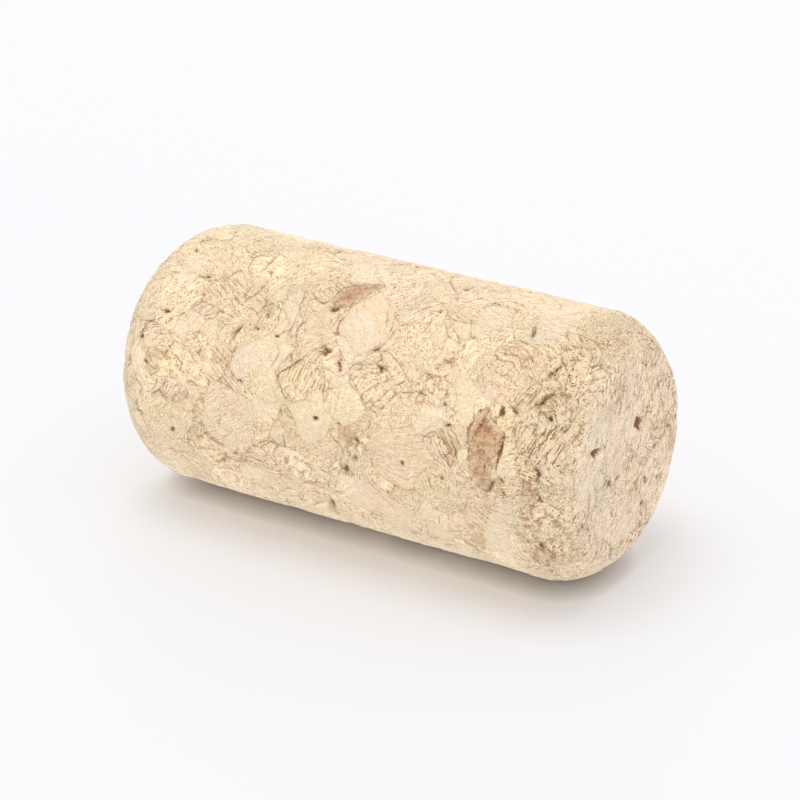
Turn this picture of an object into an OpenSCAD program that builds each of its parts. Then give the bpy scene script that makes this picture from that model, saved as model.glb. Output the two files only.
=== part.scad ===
// Straight agglomerated cork stopper, ground to shape from one moulded rod of cork granules.
// It stands on its lower end: the origin is the centre of that end, and Z runs up the axis.
// Sizes are in millimetres. Both ends carry the same crowned bevel.

/* [Stopper] */
// Diameter of the straight wall
diameter = 23; // [19:0.5:30]
// Overall length, end to end
length = 45; // [34:0.5:60]

/* [Bevels] */
// How far a bevel takes the end in from the wall, along the radius
bevel_width = 2.65; // [1.5:0.05:4]
// How far a bevel reaches along the wall
bevel_length = 3.8; // [2.5:0.1:5.5]
// How far the middle of a bevel bulges above a straight chamfer
bevel_crown = 0.4; // [0.2:0.05:0.6]
// Radius worn where a bevel runs into the wall
wall_blend = 3; // [1:0.25:4]
// Radius worn where a bevel runs into the flat end
end_blend = 1.2; // [0.5:0.1:2]

/* [Voids] */
// Depth of the hollows where a flake of bark shows or a granule has come away
hollow_depth = 0.3; // [0.1:0.05:0.5]
// How deep the open crevices between granules are, as a share of their width
crevice_depth = 0.45; // [0.25:0.05:0.45]

/* [Hidden] */
$fn = 96;

radius = diameter / 2;
end_radius = radius - bevel_width;

// The bevel is an arc through the edge of the end and the edge of the wall, on the plane of
// radius and height. Its radius follows from its chord and its crown.
bevel_chord = norm([bevel_width, bevel_length]);
crown_radius = bevel_chord * bevel_chord / (8 * bevel_crown) + bevel_crown / 2;
inward = [-bevel_length, bevel_width] / bevel_chord;
crown_centre = [radius - bevel_width / 2, bevel_length / 2] + inward * (crown_radius - bevel_crown);

// Each blend is a smaller arc inside the crown's, tangent to it and to the wall or the end
wall_blend_centre = let (r = radius - wall_blend)
    [r, crown_centre.y - leg(crown_radius - wall_blend, r - crown_centre.x)];
end_blend_centre = [crown_centre.x + leg(crown_radius - end_blend, crown_centre.y - end_blend), end_blend];
wall_touch = [radius, wall_blend_centre.y];
end_touch = [end_blend_centre.x, 0];
wall_crown_touch = on_crown(wall_blend_centre);
end_crown_touch = on_crown(end_blend_centre);

wall_start = wall_touch.y;
wall_length = length - 2 * wall_start;
crown_start = direction(end_crown_touch);
crown_sweep = direction(wall_crown_touch) - crown_start;

// Hollows on the wall: [share of the way up the wall, angle, length, width, turn].
// A turn of 0 lies along the axis, and 90 lies round the stopper.
WALL_HOLLOWS = [
    [0.47, -69, 5.2, 1.7, 54],
    [0.89, 28, 4.2, 1.3, 84],
    [0.57, -7, 2.2, 1.4, 60],
    [0.02, -18, 2.4, 1.6, 90],
    [0.35, 118, 5.0, 2.2, 40],
    [0.72, 176, 3.8, 1.6, -40],
    [0.16, -128, 4.4, 1.8, 15],
];

// Crevices and pores on the wall: [share of the way up, angle, length, width, turn].
// The first three follow the rim of a large flake of bark.
WALL_VOIDS = [
    [0.895, -25, 3.0, 0.5, 71],
    [0.957, -16, 2.8, 0.6, 84],
    [0.945, -2, 1.9, 0.5, 58],
    [0.435, -58, 0.8, 0.7, 0],
    [0.465, -39, 1.5, 0.7, 10],
    [0.51, -35, 1.7, 0.5, 111],
    [0.615, -38, 0.9, 0.6, 0],
    [0.56, 9, 1.6, 0.8, 65],
    [0.02, -39, 1.0, 0.8, 0],
    [0.225, -38, 2.0, 0.5, 70],
    [0.923, -72, 1.8, 0.5, 108],
    [0.975, 0.5, 1.2, 0.5, 90],
    [0.69, -89, 0.6, 0.5, 0],
    [0.08, -59, 1.2, 0.6, 20],
    [0.49, 34, 1.8, 0.7, 75],
    [0.968, -34.3, 1.3, 0.6, 148],
    [0.815, 1, 0.5, 0.5, 0],
    [0.27, 20, 1.1, 0.4, 50],
    [0.12, 62, 1.9, 0.7, 25],
    [0.58, 71, 1.4, 0.6, -60],
    [0.83, 95, 0.9, 0.8, 0],
    [0.25, 152, 2.3, 0.6, 80],
    [0.49, 139, 1.0, 0.7, -20],
    [0.91, 149, 1.7, 0.5, 55],
    [0.07, 189, 1.2, 0.9, 0],
    [0.61, -158, 2.0, 0.7, -35],
    [0.38, -141, 0.8, 0.8, 0],
    [0.86, -120, 1.6, 0.6, 70],
    [0.31, -97, 1.2, 0.5, 85],
];

// Crevices on the bevels: [end, share of the way from the end to the wall, angle, length,
// width, turn]. End 0 is the lower one and end 1 the upper one.
BEVEL_VOIDS = [
    [1, 1.08, -54.3, 2.4, 0.6, 117],
    [1, 0.97, -42.3, 2.4, 0.6, 117],
    [1, 0.75, -11.3, 1.3, 0.7, 96],
    [1, 0.765, 26, 1.2, 0.6, 85],
    [1, 0.25, 84, 1.9, 0.9, 90],
    [1, 0.2, 160, 1.8, 0.9, 80],
    [1, 0.45, -151, 1.9, 0.7, 30],
    [0, 0.4, -66, 1.4, 0.8, 70],
    [0, 0.7, 35, 2.0, 0.6, 15],
    [0, 0.5, 155, 1.5, 0.9, 85],
];

// Crevices in the flat ends: [end, distance from the centre, angle, length, width, turn]
END_VOIDS = [
    [1, 6.1, -25, 2.2, 0.6, -16],
    [1, 2.9, -124, 1.5, 1.0, 60],
    [1, 3.2, 24, 0.9, 0.6, 69],
    [1, 2.4, 38, 0.8, 0.5, -17],
    [1, 4.9, 134, 0.9, 0.6, 19],
    [1, 6.2, 118, 1.1, 0.5, 108],
    [1, 6.9, 144, 0.8, 0.4, 144],
    [1, 4.5, -89, 0.7, 0.4, 71],
    [1, 7.6, -112, 0.8, 0.4, -62],
    [0, 4.6, 10, 1.8, 0.8, 30],
    [0, 3.0, 170, 1.1, 0.8, 80],
    [0, 6.4, -100, 1.5, 0.7, 0],
];

// Third side of a right triangle, from its hypotenuse and one leg
function leg(hypotenuse, other) = sqrt(hypotenuse * hypotenuse - other * other);

// Angle at which a point of the outline lies, seen from the crown's centre
function direction(point) = atan2(point.y - crown_centre.y, point.x - crown_centre.x);

// Point at an angle on the crown
function crown_point(angle) = crown_centre + crown_radius * [cos(angle), sin(angle)];

// Where a blend with this centre leaves the crown
function on_crown(centre) = crown_point(direction(centre));

// The part of a disc that bulges over the chord from p to q
module bulge(p, q, centre, disc_radius) {
    outward = 2 * disc_radius * [q.y - p.y, p.x - q.x] / norm(q - p);
    intersection() {
        translate(centre) circle(disc_radius);
        polygon([p, q, q + outward, p + outward]);
    }
}

// Lower half of the section, from the axis to the wall: straight chords, each bulged to its arc
module lower_outline() {
    polygon([
        [0, 0],
        end_touch,
        end_crown_touch,
        wall_crown_touch,
        wall_touch,
        [radius, length / 2],
        [0, length / 2],
    ]);
    bulge(end_touch, end_crown_touch, end_blend_centre, end_blend);
    bulge(end_crown_touch, wall_crown_touch, crown_centre, crown_radius);
    bulge(wall_crown_touch, wall_touch, wall_blend_centre, wall_blend);
}

// The stopper as it leaves the grinding wheel, before any void
module ground_body() {
    rotate_extrude() {
        lower_outline();
        translate([0, length]) mirror([0, 1]) lower_outline();
    }
}

// Radius of the arc that spans a chord and bulges by a rise
function arc_radius(chord, rise) = (chord * chord / 4 + rise * rise) / (2 * rise);

// A solid of revolution along X, pointed at both ends. Its middle is a disc of the girth
// radius, and its side is an arc of the flank radius.
module spindle(girth, flank) {
    tip = leg(flank, flank - girth);
    rotate([0, 90, 0]) rotate_extrude()
        intersection() {
            translate([girth - flank, 0]) circle(flank);
            translate([0, -2 * tip]) square([girth, 4 * tip]);
        }
}

// A boat-shaped hollow sunk below the surface at Z = 0, pointed at both ends of its mouth
module hollow(mouth_length, mouth_width, depth) {
    girth = arc_radius(mouth_width, depth);
    translate([0, 0, girth - depth]) spindle(girth, arc_radius(mouth_length, depth));
}

// An open crevice between granules
module crevice(mouth_length, mouth_width) {
    hollow(mouth_length, mouth_width, crevice_depth * mouth_width);
}

// Puts a child on a point of the outline, at an angle round the axis. Its Z axis turns
// to the outward normal, which leans up from the level, and its X axis follows the outline.
module on_surface(point, angle, lean, turn) {
    rotate([0, 0, angle]) translate([point.x, 0, point.y]) rotate([0, 90 - lean, 0]) rotate([0, 0, turn])
        children();
}

// Puts a child at the lower end, or mirrors it to the upper one
module at_end(end) {
    if (end == 0) children();
    else translate([0, 0, length]) mirror([0, 0, 1]) children();
}

module wall_voids() {
    for (v = WALL_HOLLOWS)
        on_surface([radius, wall_start + v[0] * wall_length], v[1], 0, v[4]) hollow(v[2], v[3], hollow_depth);
    for (v = WALL_VOIDS)
        on_surface([radius, wall_start + v[0] * wall_length], v[1], 0, v[4]) crevice(v[2], v[3]);
}

module bevel_voids() {
    for (v = BEVEL_VOIDS)
        let (lean = crown_start + v[1] * crown_sweep)
            at_end(v[0]) on_surface(crown_point(lean), v[2], lean, v[5]) crevice(v[3], v[4]);
}

module end_voids() {
    for (v = END_VOIDS)
        at_end(v[0]) on_surface([v[1], 0], v[2], -90, v[5]) crevice(v[3], v[4]);
}

module stopper() {
    color("wheat")
        difference() {
            ground_body();
            wall_voids();
            bevel_voids();
            end_voids();
        }
}

stopper();
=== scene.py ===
"""Cork stopper: the ground skin of bonded cork granules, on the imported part, and the studio that shows it.

Sizes are millimetres in this file, because cork is read in millimetres, and they are turned to
metres where they enter Blender. The stopper stands on its lower end, with Z up its axis. The
studio lays its table along the stopper's side instead, so the camera sees it lying down.
"""

import logging
import math
from dataclasses import dataclass
from enum import Enum

import bpy
import numpy as np
from mathutils import Matrix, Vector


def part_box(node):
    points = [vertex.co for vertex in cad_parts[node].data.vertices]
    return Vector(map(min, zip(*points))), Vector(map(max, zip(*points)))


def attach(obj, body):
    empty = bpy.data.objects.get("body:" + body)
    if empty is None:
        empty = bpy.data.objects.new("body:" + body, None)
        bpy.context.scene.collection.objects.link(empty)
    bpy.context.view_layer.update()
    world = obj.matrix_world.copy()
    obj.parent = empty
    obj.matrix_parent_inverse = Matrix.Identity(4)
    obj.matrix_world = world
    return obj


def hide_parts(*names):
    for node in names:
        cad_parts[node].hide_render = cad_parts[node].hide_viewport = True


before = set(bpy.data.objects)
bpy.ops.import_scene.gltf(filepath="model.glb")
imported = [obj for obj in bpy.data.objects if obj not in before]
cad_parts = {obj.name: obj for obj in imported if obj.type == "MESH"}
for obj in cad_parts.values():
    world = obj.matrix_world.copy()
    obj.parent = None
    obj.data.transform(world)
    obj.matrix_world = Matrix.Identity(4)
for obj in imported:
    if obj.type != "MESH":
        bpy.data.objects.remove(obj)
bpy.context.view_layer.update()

LOG = logging.getLogger("stopper")
METRE = 0.001  # one millimetre in metres
NODE = "stopper"

Sockets = dict[str, bpy.types.NodeSocket]


def add_node(
    tree: bpy.types.NodeTree, kind: str, inputs: dict | None = None, **settings: object
) -> bpy.types.Node:
    """Adds a node to a tree, sets it and links it.

    Args:
        tree: The shader or geometry tree that takes the node.
        kind: The node's type name.
        inputs: What goes into each input, by name or index: a socket to link, or a value.
        settings: The node's own settings, by name.

    Returns:
        The new node.
    """
    node = tree.nodes.new(kind)
    for name, value in settings.items():
        setattr(node, name, value)
    for name, value in (inputs or {}).items():
        if isinstance(value, bpy.types.NodeSocket):
            tree.links.new(value, node.inputs[name])
        else:
            node.inputs[name].default_value = value
    return node


def math_node(tree: bpy.types.NodeTree, operation: str, *values: object) -> bpy.types.NodeSocket:
    """Adds a sum of one kind, from sockets or numbers in order, and gives its result."""
    return add_node(tree, "ShaderNodeMath", dict(enumerate(values)), operation=operation).outputs[0]


def vector_node(tree: bpy.types.NodeTree, operation: str, *values: object) -> bpy.types.Node:
    """Adds a sum of vectors of one kind. It gives the node, because a dot product is a number."""
    return add_node(tree, "ShaderNodeVectorMath", dict(enumerate(values)), operation=operation)


def scaled(tree: bpy.types.NodeTree, vector: object, factor: object) -> bpy.types.NodeSocket:
    """Multiplies a vector by a number."""
    inputs = {0: vector, "Scale": factor}
    return add_node(tree, "ShaderNodeVectorMath", inputs, operation="SCALE").outputs[0]


def mixed(tree: bpy.types.NodeTree, share: object, low: object, high: object) -> bpy.types.NodeSocket:
    """Blends two numbers: low where the share is 0, and high where it is 1."""
    return add_node(tree, "ShaderNodeMix", {0: share, 2: low, 3: high}, data_type="FLOAT").outputs[0]


def blended(tree: bpy.types.NodeTree, share: object, under: object, over: object) -> bpy.types.NodeSocket:
    """Blends two colours: under where the share is 0, and over where it is 1."""
    return add_node(tree, "ShaderNodeMix", {0: share, 6: under, 7: over}, data_type="RGBA").outputs[2]


def noise_node(tree: bpy.types.NodeTree, spot: object, size: float, detail: float) -> bpy.types.Node:
    """Adds a noise with lumps of one size, in millimetres, and a number of octaves."""
    return add_node(tree, "ShaderNodeTexNoise", {"Vector": spot, "Scale": 1 / size, "Detail": detail})


def linear(hex_colour: str) -> tuple[float, float, float, float]:
    """Turns an sRGB hex colour to linear light.

    Each channel is the usual curve: the value over 12.92 in the darkest part, and otherwise the
    value plus 0.055, over 1.055, to the power 2.4.

    Args:
        hex_colour: Six hex digits after a hash.

    Returns:
        Red, green, blue and an alpha of 1.
    """
    channels = (int(hex_colour[i : i + 2], 16) / 255 for i in (1, 3, 5))
    red, green, blue = (c / 12.92 if c <= 0.04045 else ((c + 0.055) / 1.055) ** 2.4 for c in channels)
    return red, green, blue, 1.0


def smoothstep(low: float, high: float, value: np.ndarray) -> np.ndarray:
    """Rises from 0 at low to 1 at high, as three times the square less twice the cube."""
    t = np.clip((value - low) / (high - low), 0, 1)
    return t * t * (3 - 2 * t)


class Zone(Enum):
    """The stretches of the ground outline, from the lower end's centre to the upper one's."""

    LOWER_END = "lower end"
    LOWER_BEVEL = "lower bevel"
    WALL = "wall"
    UPPER_BEVEL = "upper bevel"
    UPPER_END = "upper end"


@dataclass
class Section:
    """The half section that the stopper is ground to, as arcs on the plane of radius and height.

    The bevel is an arc that bulges above its chord by the crown, and smaller arcs blend it into
    the end and the wall. Its sizes are those of the CAD part.
    """

    radius: float
    length: float
    bevel_width: float = 2.65
    bevel_length: float = 3.8
    bevel_crown: float = 0.4
    wall_blend: float = 3.0
    end_blend: float = 1.2
    samples: int = 40

    def __post_init__(self) -> None:
        """Works out the arcs: a chord and its rise give a radius, and tangency gives the rest."""
        chord = math.hypot(self.bevel_width, self.bevel_length)
        self.crown_radius = chord**2 / (8 * self.bevel_crown) + self.bevel_crown / 2
        reach = (self.crown_radius - self.bevel_crown) / chord
        self.crown_r = self.radius - self.bevel_width / 2 - self.bevel_length * reach
        self.crown_z = self.bevel_length / 2 + self.bevel_width * reach
        wall_r = self.radius - self.wall_blend
        wall_z = self.crown_z - math.sqrt(
            (self.crown_radius - self.wall_blend) ** 2 - (wall_r - self.crown_r) ** 2
        )
        end_r = self.crown_r + math.sqrt(
            (self.crown_radius - self.end_blend) ** 2 - (self.crown_z - self.end_blend) ** 2
        )
        end_turn = math.atan2(self.end_blend - self.crown_z, end_r - self.crown_r)
        wall_turn = math.atan2(wall_z - self.crown_z, wall_r - self.crown_r)
        arcs = (
            (end_r, self.end_blend, self.end_blend, -math.pi / 2, end_turn),
            (self.crown_r, self.crown_z, self.crown_radius, end_turn, wall_turn),
            (wall_r, wall_z, self.wall_blend, wall_turn, 0.0),
        )
        half = [np.array([[0.0, 0.0, -math.pi / 2]])]
        for r, z, size, start, stop in arcs:
            turn = np.linspace(start, stop, self.samples)
            half.append(np.stack([r + size * np.cos(turn), z + size * np.sin(turn), turn], axis=1))
        lower = np.concatenate(half)
        upper = lower[::-1] * [1, -1, -1] + [0, self.length, 0]
        self.outline = np.concatenate([lower, upper])
        self.wall_start = wall_z
        self.crown_span = (end_turn, wall_turn)
        steps = np.hypot(*np.diff(self.outline[:, :2], axis=0).T)
        self.run = np.concatenate([[0.0], np.cumsum(steps)])
        end_run, wall_run = self.run[1], self.run[len(lower) - 1]
        total = self.run[-1]
        self.stretch = {
            Zone.LOWER_END: (0.0, end_run),
            Zone.LOWER_BEVEL: (end_run, wall_run),
            Zone.WALL: (wall_run, total - wall_run),
            Zone.UPPER_BEVEL: (total - wall_run, total - end_run),
            Zone.UPPER_END: (total - end_run, total),
        }

    def at(self, run: np.ndarray) -> tuple[np.ndarray, np.ndarray, np.ndarray]:
        """Finds the outline at a distance along it, measured from the lower end's centre.

        Args:
            run: Distances along the outline.

        Returns:
            Radius, height, and the angle of the outward normal above the level.
        """
        return tuple(np.interp(run, self.run, self.outline[:, k]) for k in range(3))


@dataclass(frozen=True)
class Mark:
    """A feature with a place on the skin.

    On the wall, share runs from 0 to 1 upwards. On a bevel it runs along the arc, from its end's
    side to the wall, and on an end it is the distance from the centre in millimetres. A turn of 0
    points along the outline towards the end, or away from the centre, and 90 points round the
    stopper.
    """

    zone: Zone
    share: float
    angle: float
    length: float
    width: float
    turn: float

    def local(self, points: np.ndarray, section: Section) -> tuple[np.ndarray, np.ndarray, np.ndarray]:
        """Gives points in the mark's own axes.

        Args:
            points: Points in the row frame, one a row.
            section: The outline that the mark lies on.

        Returns:
            Distance along the mark, across it, and outwards.
        """
        if self.zone is Zone.WALL:
            rise = section.length - 2 * section.wall_start
            r, z, lean = section.radius, section.wall_start + self.share * rise, 0.0
        elif self.zone in (Zone.LOWER_END, Zone.UPPER_END):
            r, z, lean = self.share, 0.0, -math.pi / 2
        else:
            start, stop = section.crown_span
            lean = start + self.share * (stop - start)
            r = section.crown_r + section.crown_radius * math.cos(lean)
            z = section.crown_z + section.crown_radius * math.sin(lean)
        upper = self.zone in (Zone.UPPER_BEVEL, Zone.UPPER_END)
        if upper:
            z, lean = section.length - z, -lean
        angle, turn = math.radians(self.angle), math.radians(self.turn)
        level = math.cos(lean)
        outward = np.array([level * math.cos(angle), level * math.sin(angle), math.sin(lean)])
        around = np.array([-math.sin(angle), math.cos(angle), 0.0])
        down = np.cross(around, outward) * (-1 if upper else 1)
        along = math.cos(turn) * down + math.sin(turn) * around
        across = np.cross(outward, along)
        offset = points - [r * math.cos(angle), r * math.sin(angle), z]
        return offset @ along, offset @ across, offset @ outward


def wall(*sizes: float) -> Mark:
    """A mark on the wall."""
    return Mark(Zone.WALL, *sizes)


# Voids cut in the CAD part, repeated here so that the skin opens where the part does
VOIDS = (
    wall(0.895, -25, 3.0, 0.5, 71),
    wall(0.957, -16, 2.8, 0.6, 84),
    wall(0.945, -2, 1.9, 0.5, 58),
    wall(0.435, -58, 0.8, 0.7, 0),
    wall(0.465, -39, 1.5, 0.7, 10),
    wall(0.51, -35, 1.7, 0.5, 111),
    wall(0.615, -38, 0.9, 0.6, 0),
    wall(0.56, 9, 1.6, 0.8, 65),
    wall(0.02, -39, 1.0, 0.8, 0),
    wall(0.225, -38, 2.0, 0.5, 70),
    wall(0.923, -72, 1.8, 0.5, 108),
    wall(0.975, 0.5, 1.2, 0.5, 90),
    wall(0.69, -89, 0.6, 0.5, 0),
    wall(0.08, -59, 1.2, 0.6, 20),
    wall(0.49, 34, 1.8, 0.7, 75),
    wall(0.968, -34.3, 1.3, 0.6, 148),
    wall(0.815, 1, 0.5, 0.5, 0),
    wall(0.27, 20, 1.1, 0.4, 50),
    wall(0.12, 62, 1.9, 0.7, 25),
    wall(0.58, 71, 1.4, 0.6, -60),
    wall(0.83, 95, 0.9, 0.8, 0),
    wall(0.25, 152, 2.3, 0.6, 80),
    wall(0.49, 139, 1.0, 0.7, -20),
    wall(0.91, 149, 1.7, 0.5, 55),
    wall(0.07, 189, 1.2, 0.9, 0),
    wall(0.61, -158, 2.0, 0.7, -35),
    wall(0.38, -141, 0.8, 0.8, 0),
    wall(0.86, -120, 1.6, 0.6, 70),
    wall(0.31, -97, 1.2, 0.5, 85),
    Mark(Zone.UPPER_BEVEL, 1.08, -54.3, 2.4, 0.6, 117),
    Mark(Zone.UPPER_BEVEL, 0.97, -42.3, 2.4, 0.6, 117),
    Mark(Zone.UPPER_BEVEL, 0.75, -11.3, 1.3, 0.7, 96),
    Mark(Zone.UPPER_BEVEL, 0.765, 26, 1.2, 0.6, 85),
    Mark(Zone.UPPER_BEVEL, 0.25, 84, 1.9, 0.9, 90),
    Mark(Zone.UPPER_BEVEL, 0.2, 160, 1.8, 0.9, 80),
    Mark(Zone.UPPER_BEVEL, 0.45, -151, 1.9, 0.7, 30),
    Mark(Zone.LOWER_BEVEL, 0.4, -66, 1.4, 0.8, 70),
    Mark(Zone.LOWER_BEVEL, 0.7, 35, 2.0, 0.6, 15),
    Mark(Zone.LOWER_BEVEL, 0.5, 155, 1.5, 0.9, 85),
    Mark(Zone.UPPER_END, 6.1, -25, 2.2, 0.6, -16),
    Mark(Zone.UPPER_END, 2.9, -124, 1.5, 1.0, 60),
    Mark(Zone.UPPER_END, 3.2, 24, 0.9, 0.6, 69),
    Mark(Zone.UPPER_END, 2.4, 38, 0.8, 0.5, -17),
    Mark(Zone.UPPER_END, 4.9, 134, 0.9, 0.6, 19),
    Mark(Zone.UPPER_END, 6.2, 118, 1.1, 0.5, 108),
    Mark(Zone.UPPER_END, 6.9, 144, 0.8, 0.4, 144),
    Mark(Zone.UPPER_END, 4.5, -89, 0.7, 0.4, 71),
    Mark(Zone.UPPER_END, 7.6, -112, 0.8, 0.4, -62),
    Mark(Zone.LOWER_END, 4.6, 10, 1.8, 0.8, 30),
    Mark(Zone.LOWER_END, 3.0, 170, 1.1, 0.8, 80),
    Mark(Zone.LOWER_END, 6.4, -100, 1.5, 0.7, 0),
)


class Sheet(Enum):
    """The flat map that a patch or crack is drawn on.

    SIDE has the height in millimetres and the angle round the stopper in degrees. UPPER_END has X
    and Y in millimetres.
    """

    SIDE = "side"
    UPPER_END = "upper_end"


class Kind(Enum):
    """What a patch is. Its value names the attribute that holds the distance to its outline."""

    BARK = "bark"
    CHALK = "chalk"
    BLUSH = "blush"
    TAN = "tan"
    BAND = "band"
    PIT = "pit"


@dataclass(frozen=True)
class Patch:
    """A granule, stain, pit or stretch of painted shade with a place of its own, drawn as an outline on a
    flat map.

    lay is the direction of a band's growth lines on the map, in degrees, with 0 up the stopper.
    """

    kind: Kind
    outline: tuple[tuple[float, float], ...]
    sheet: Sheet = Sheet.SIDE
    lay: float = 0.0


@dataclass(frozen=True)
class Crack:
    """A fine open seam, drawn as a path on a flat map. It narrows to nothing at both ends."""

    width: float
    path: tuple[tuple[float, float], ...]
    sheet: Sheet = Sheet.SIDE


def spot(
    kind: Kind,
    place: tuple[float, float],
    length: float,
    width: float,
    turn: float,
    sheet: Sheet = Sheet.SIDE,
) -> Patch:
    """Draws an oval patch.

    Args:
        kind: What it is.
        place: Its middle on the map.
        length: Its long way, in millimetres.
        width: Its short way, in millimetres.
        turn: The long way's direction, in degrees, with 0 up the stopper or along X.
        sheet: The map.

    Returns:
        The patch: a few points of the ellipse, turned. On the side, millimetres round the
        stopper become degrees.
    """
    lean = math.radians(turn)
    per = math.degrees(1 / FULL_RADIUS) if sheet is Sheet.SIDE else 1.0
    outline = []
    for k in range(OVAL_CORNERS):
        u = length / 2 * math.cos(k * math.tau / OVAL_CORNERS)
        v = width / 2 * math.sin(k * math.tau / OVAL_CORNERS)
        across = (u * math.sin(lean) + v * math.cos(lean)) * per
        outline.append((place[0] + u * math.cos(lean) - v * math.sin(lean), place[1] + across))
    return Patch(kind, tuple(outline), sheet)


def draw(kind: Kind, *outline: tuple[float, float], sheet: Sheet = Sheet.SIDE, lay: float = 0.0) -> Patch:
    """Draws a patch from its corners."""
    return Patch(kind, outline, sheet, lay)


def crack(width: float, *path: tuple[float, float], sheet: Sheet = Sheet.SIDE) -> Crack:
    """Draws a crack from its corners."""
    return Crack(width, path, sheet)


FULL_RADIUS = 11.5  # turns degrees round the side into millimetres on its map
OVAL_CORNERS = 8

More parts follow.
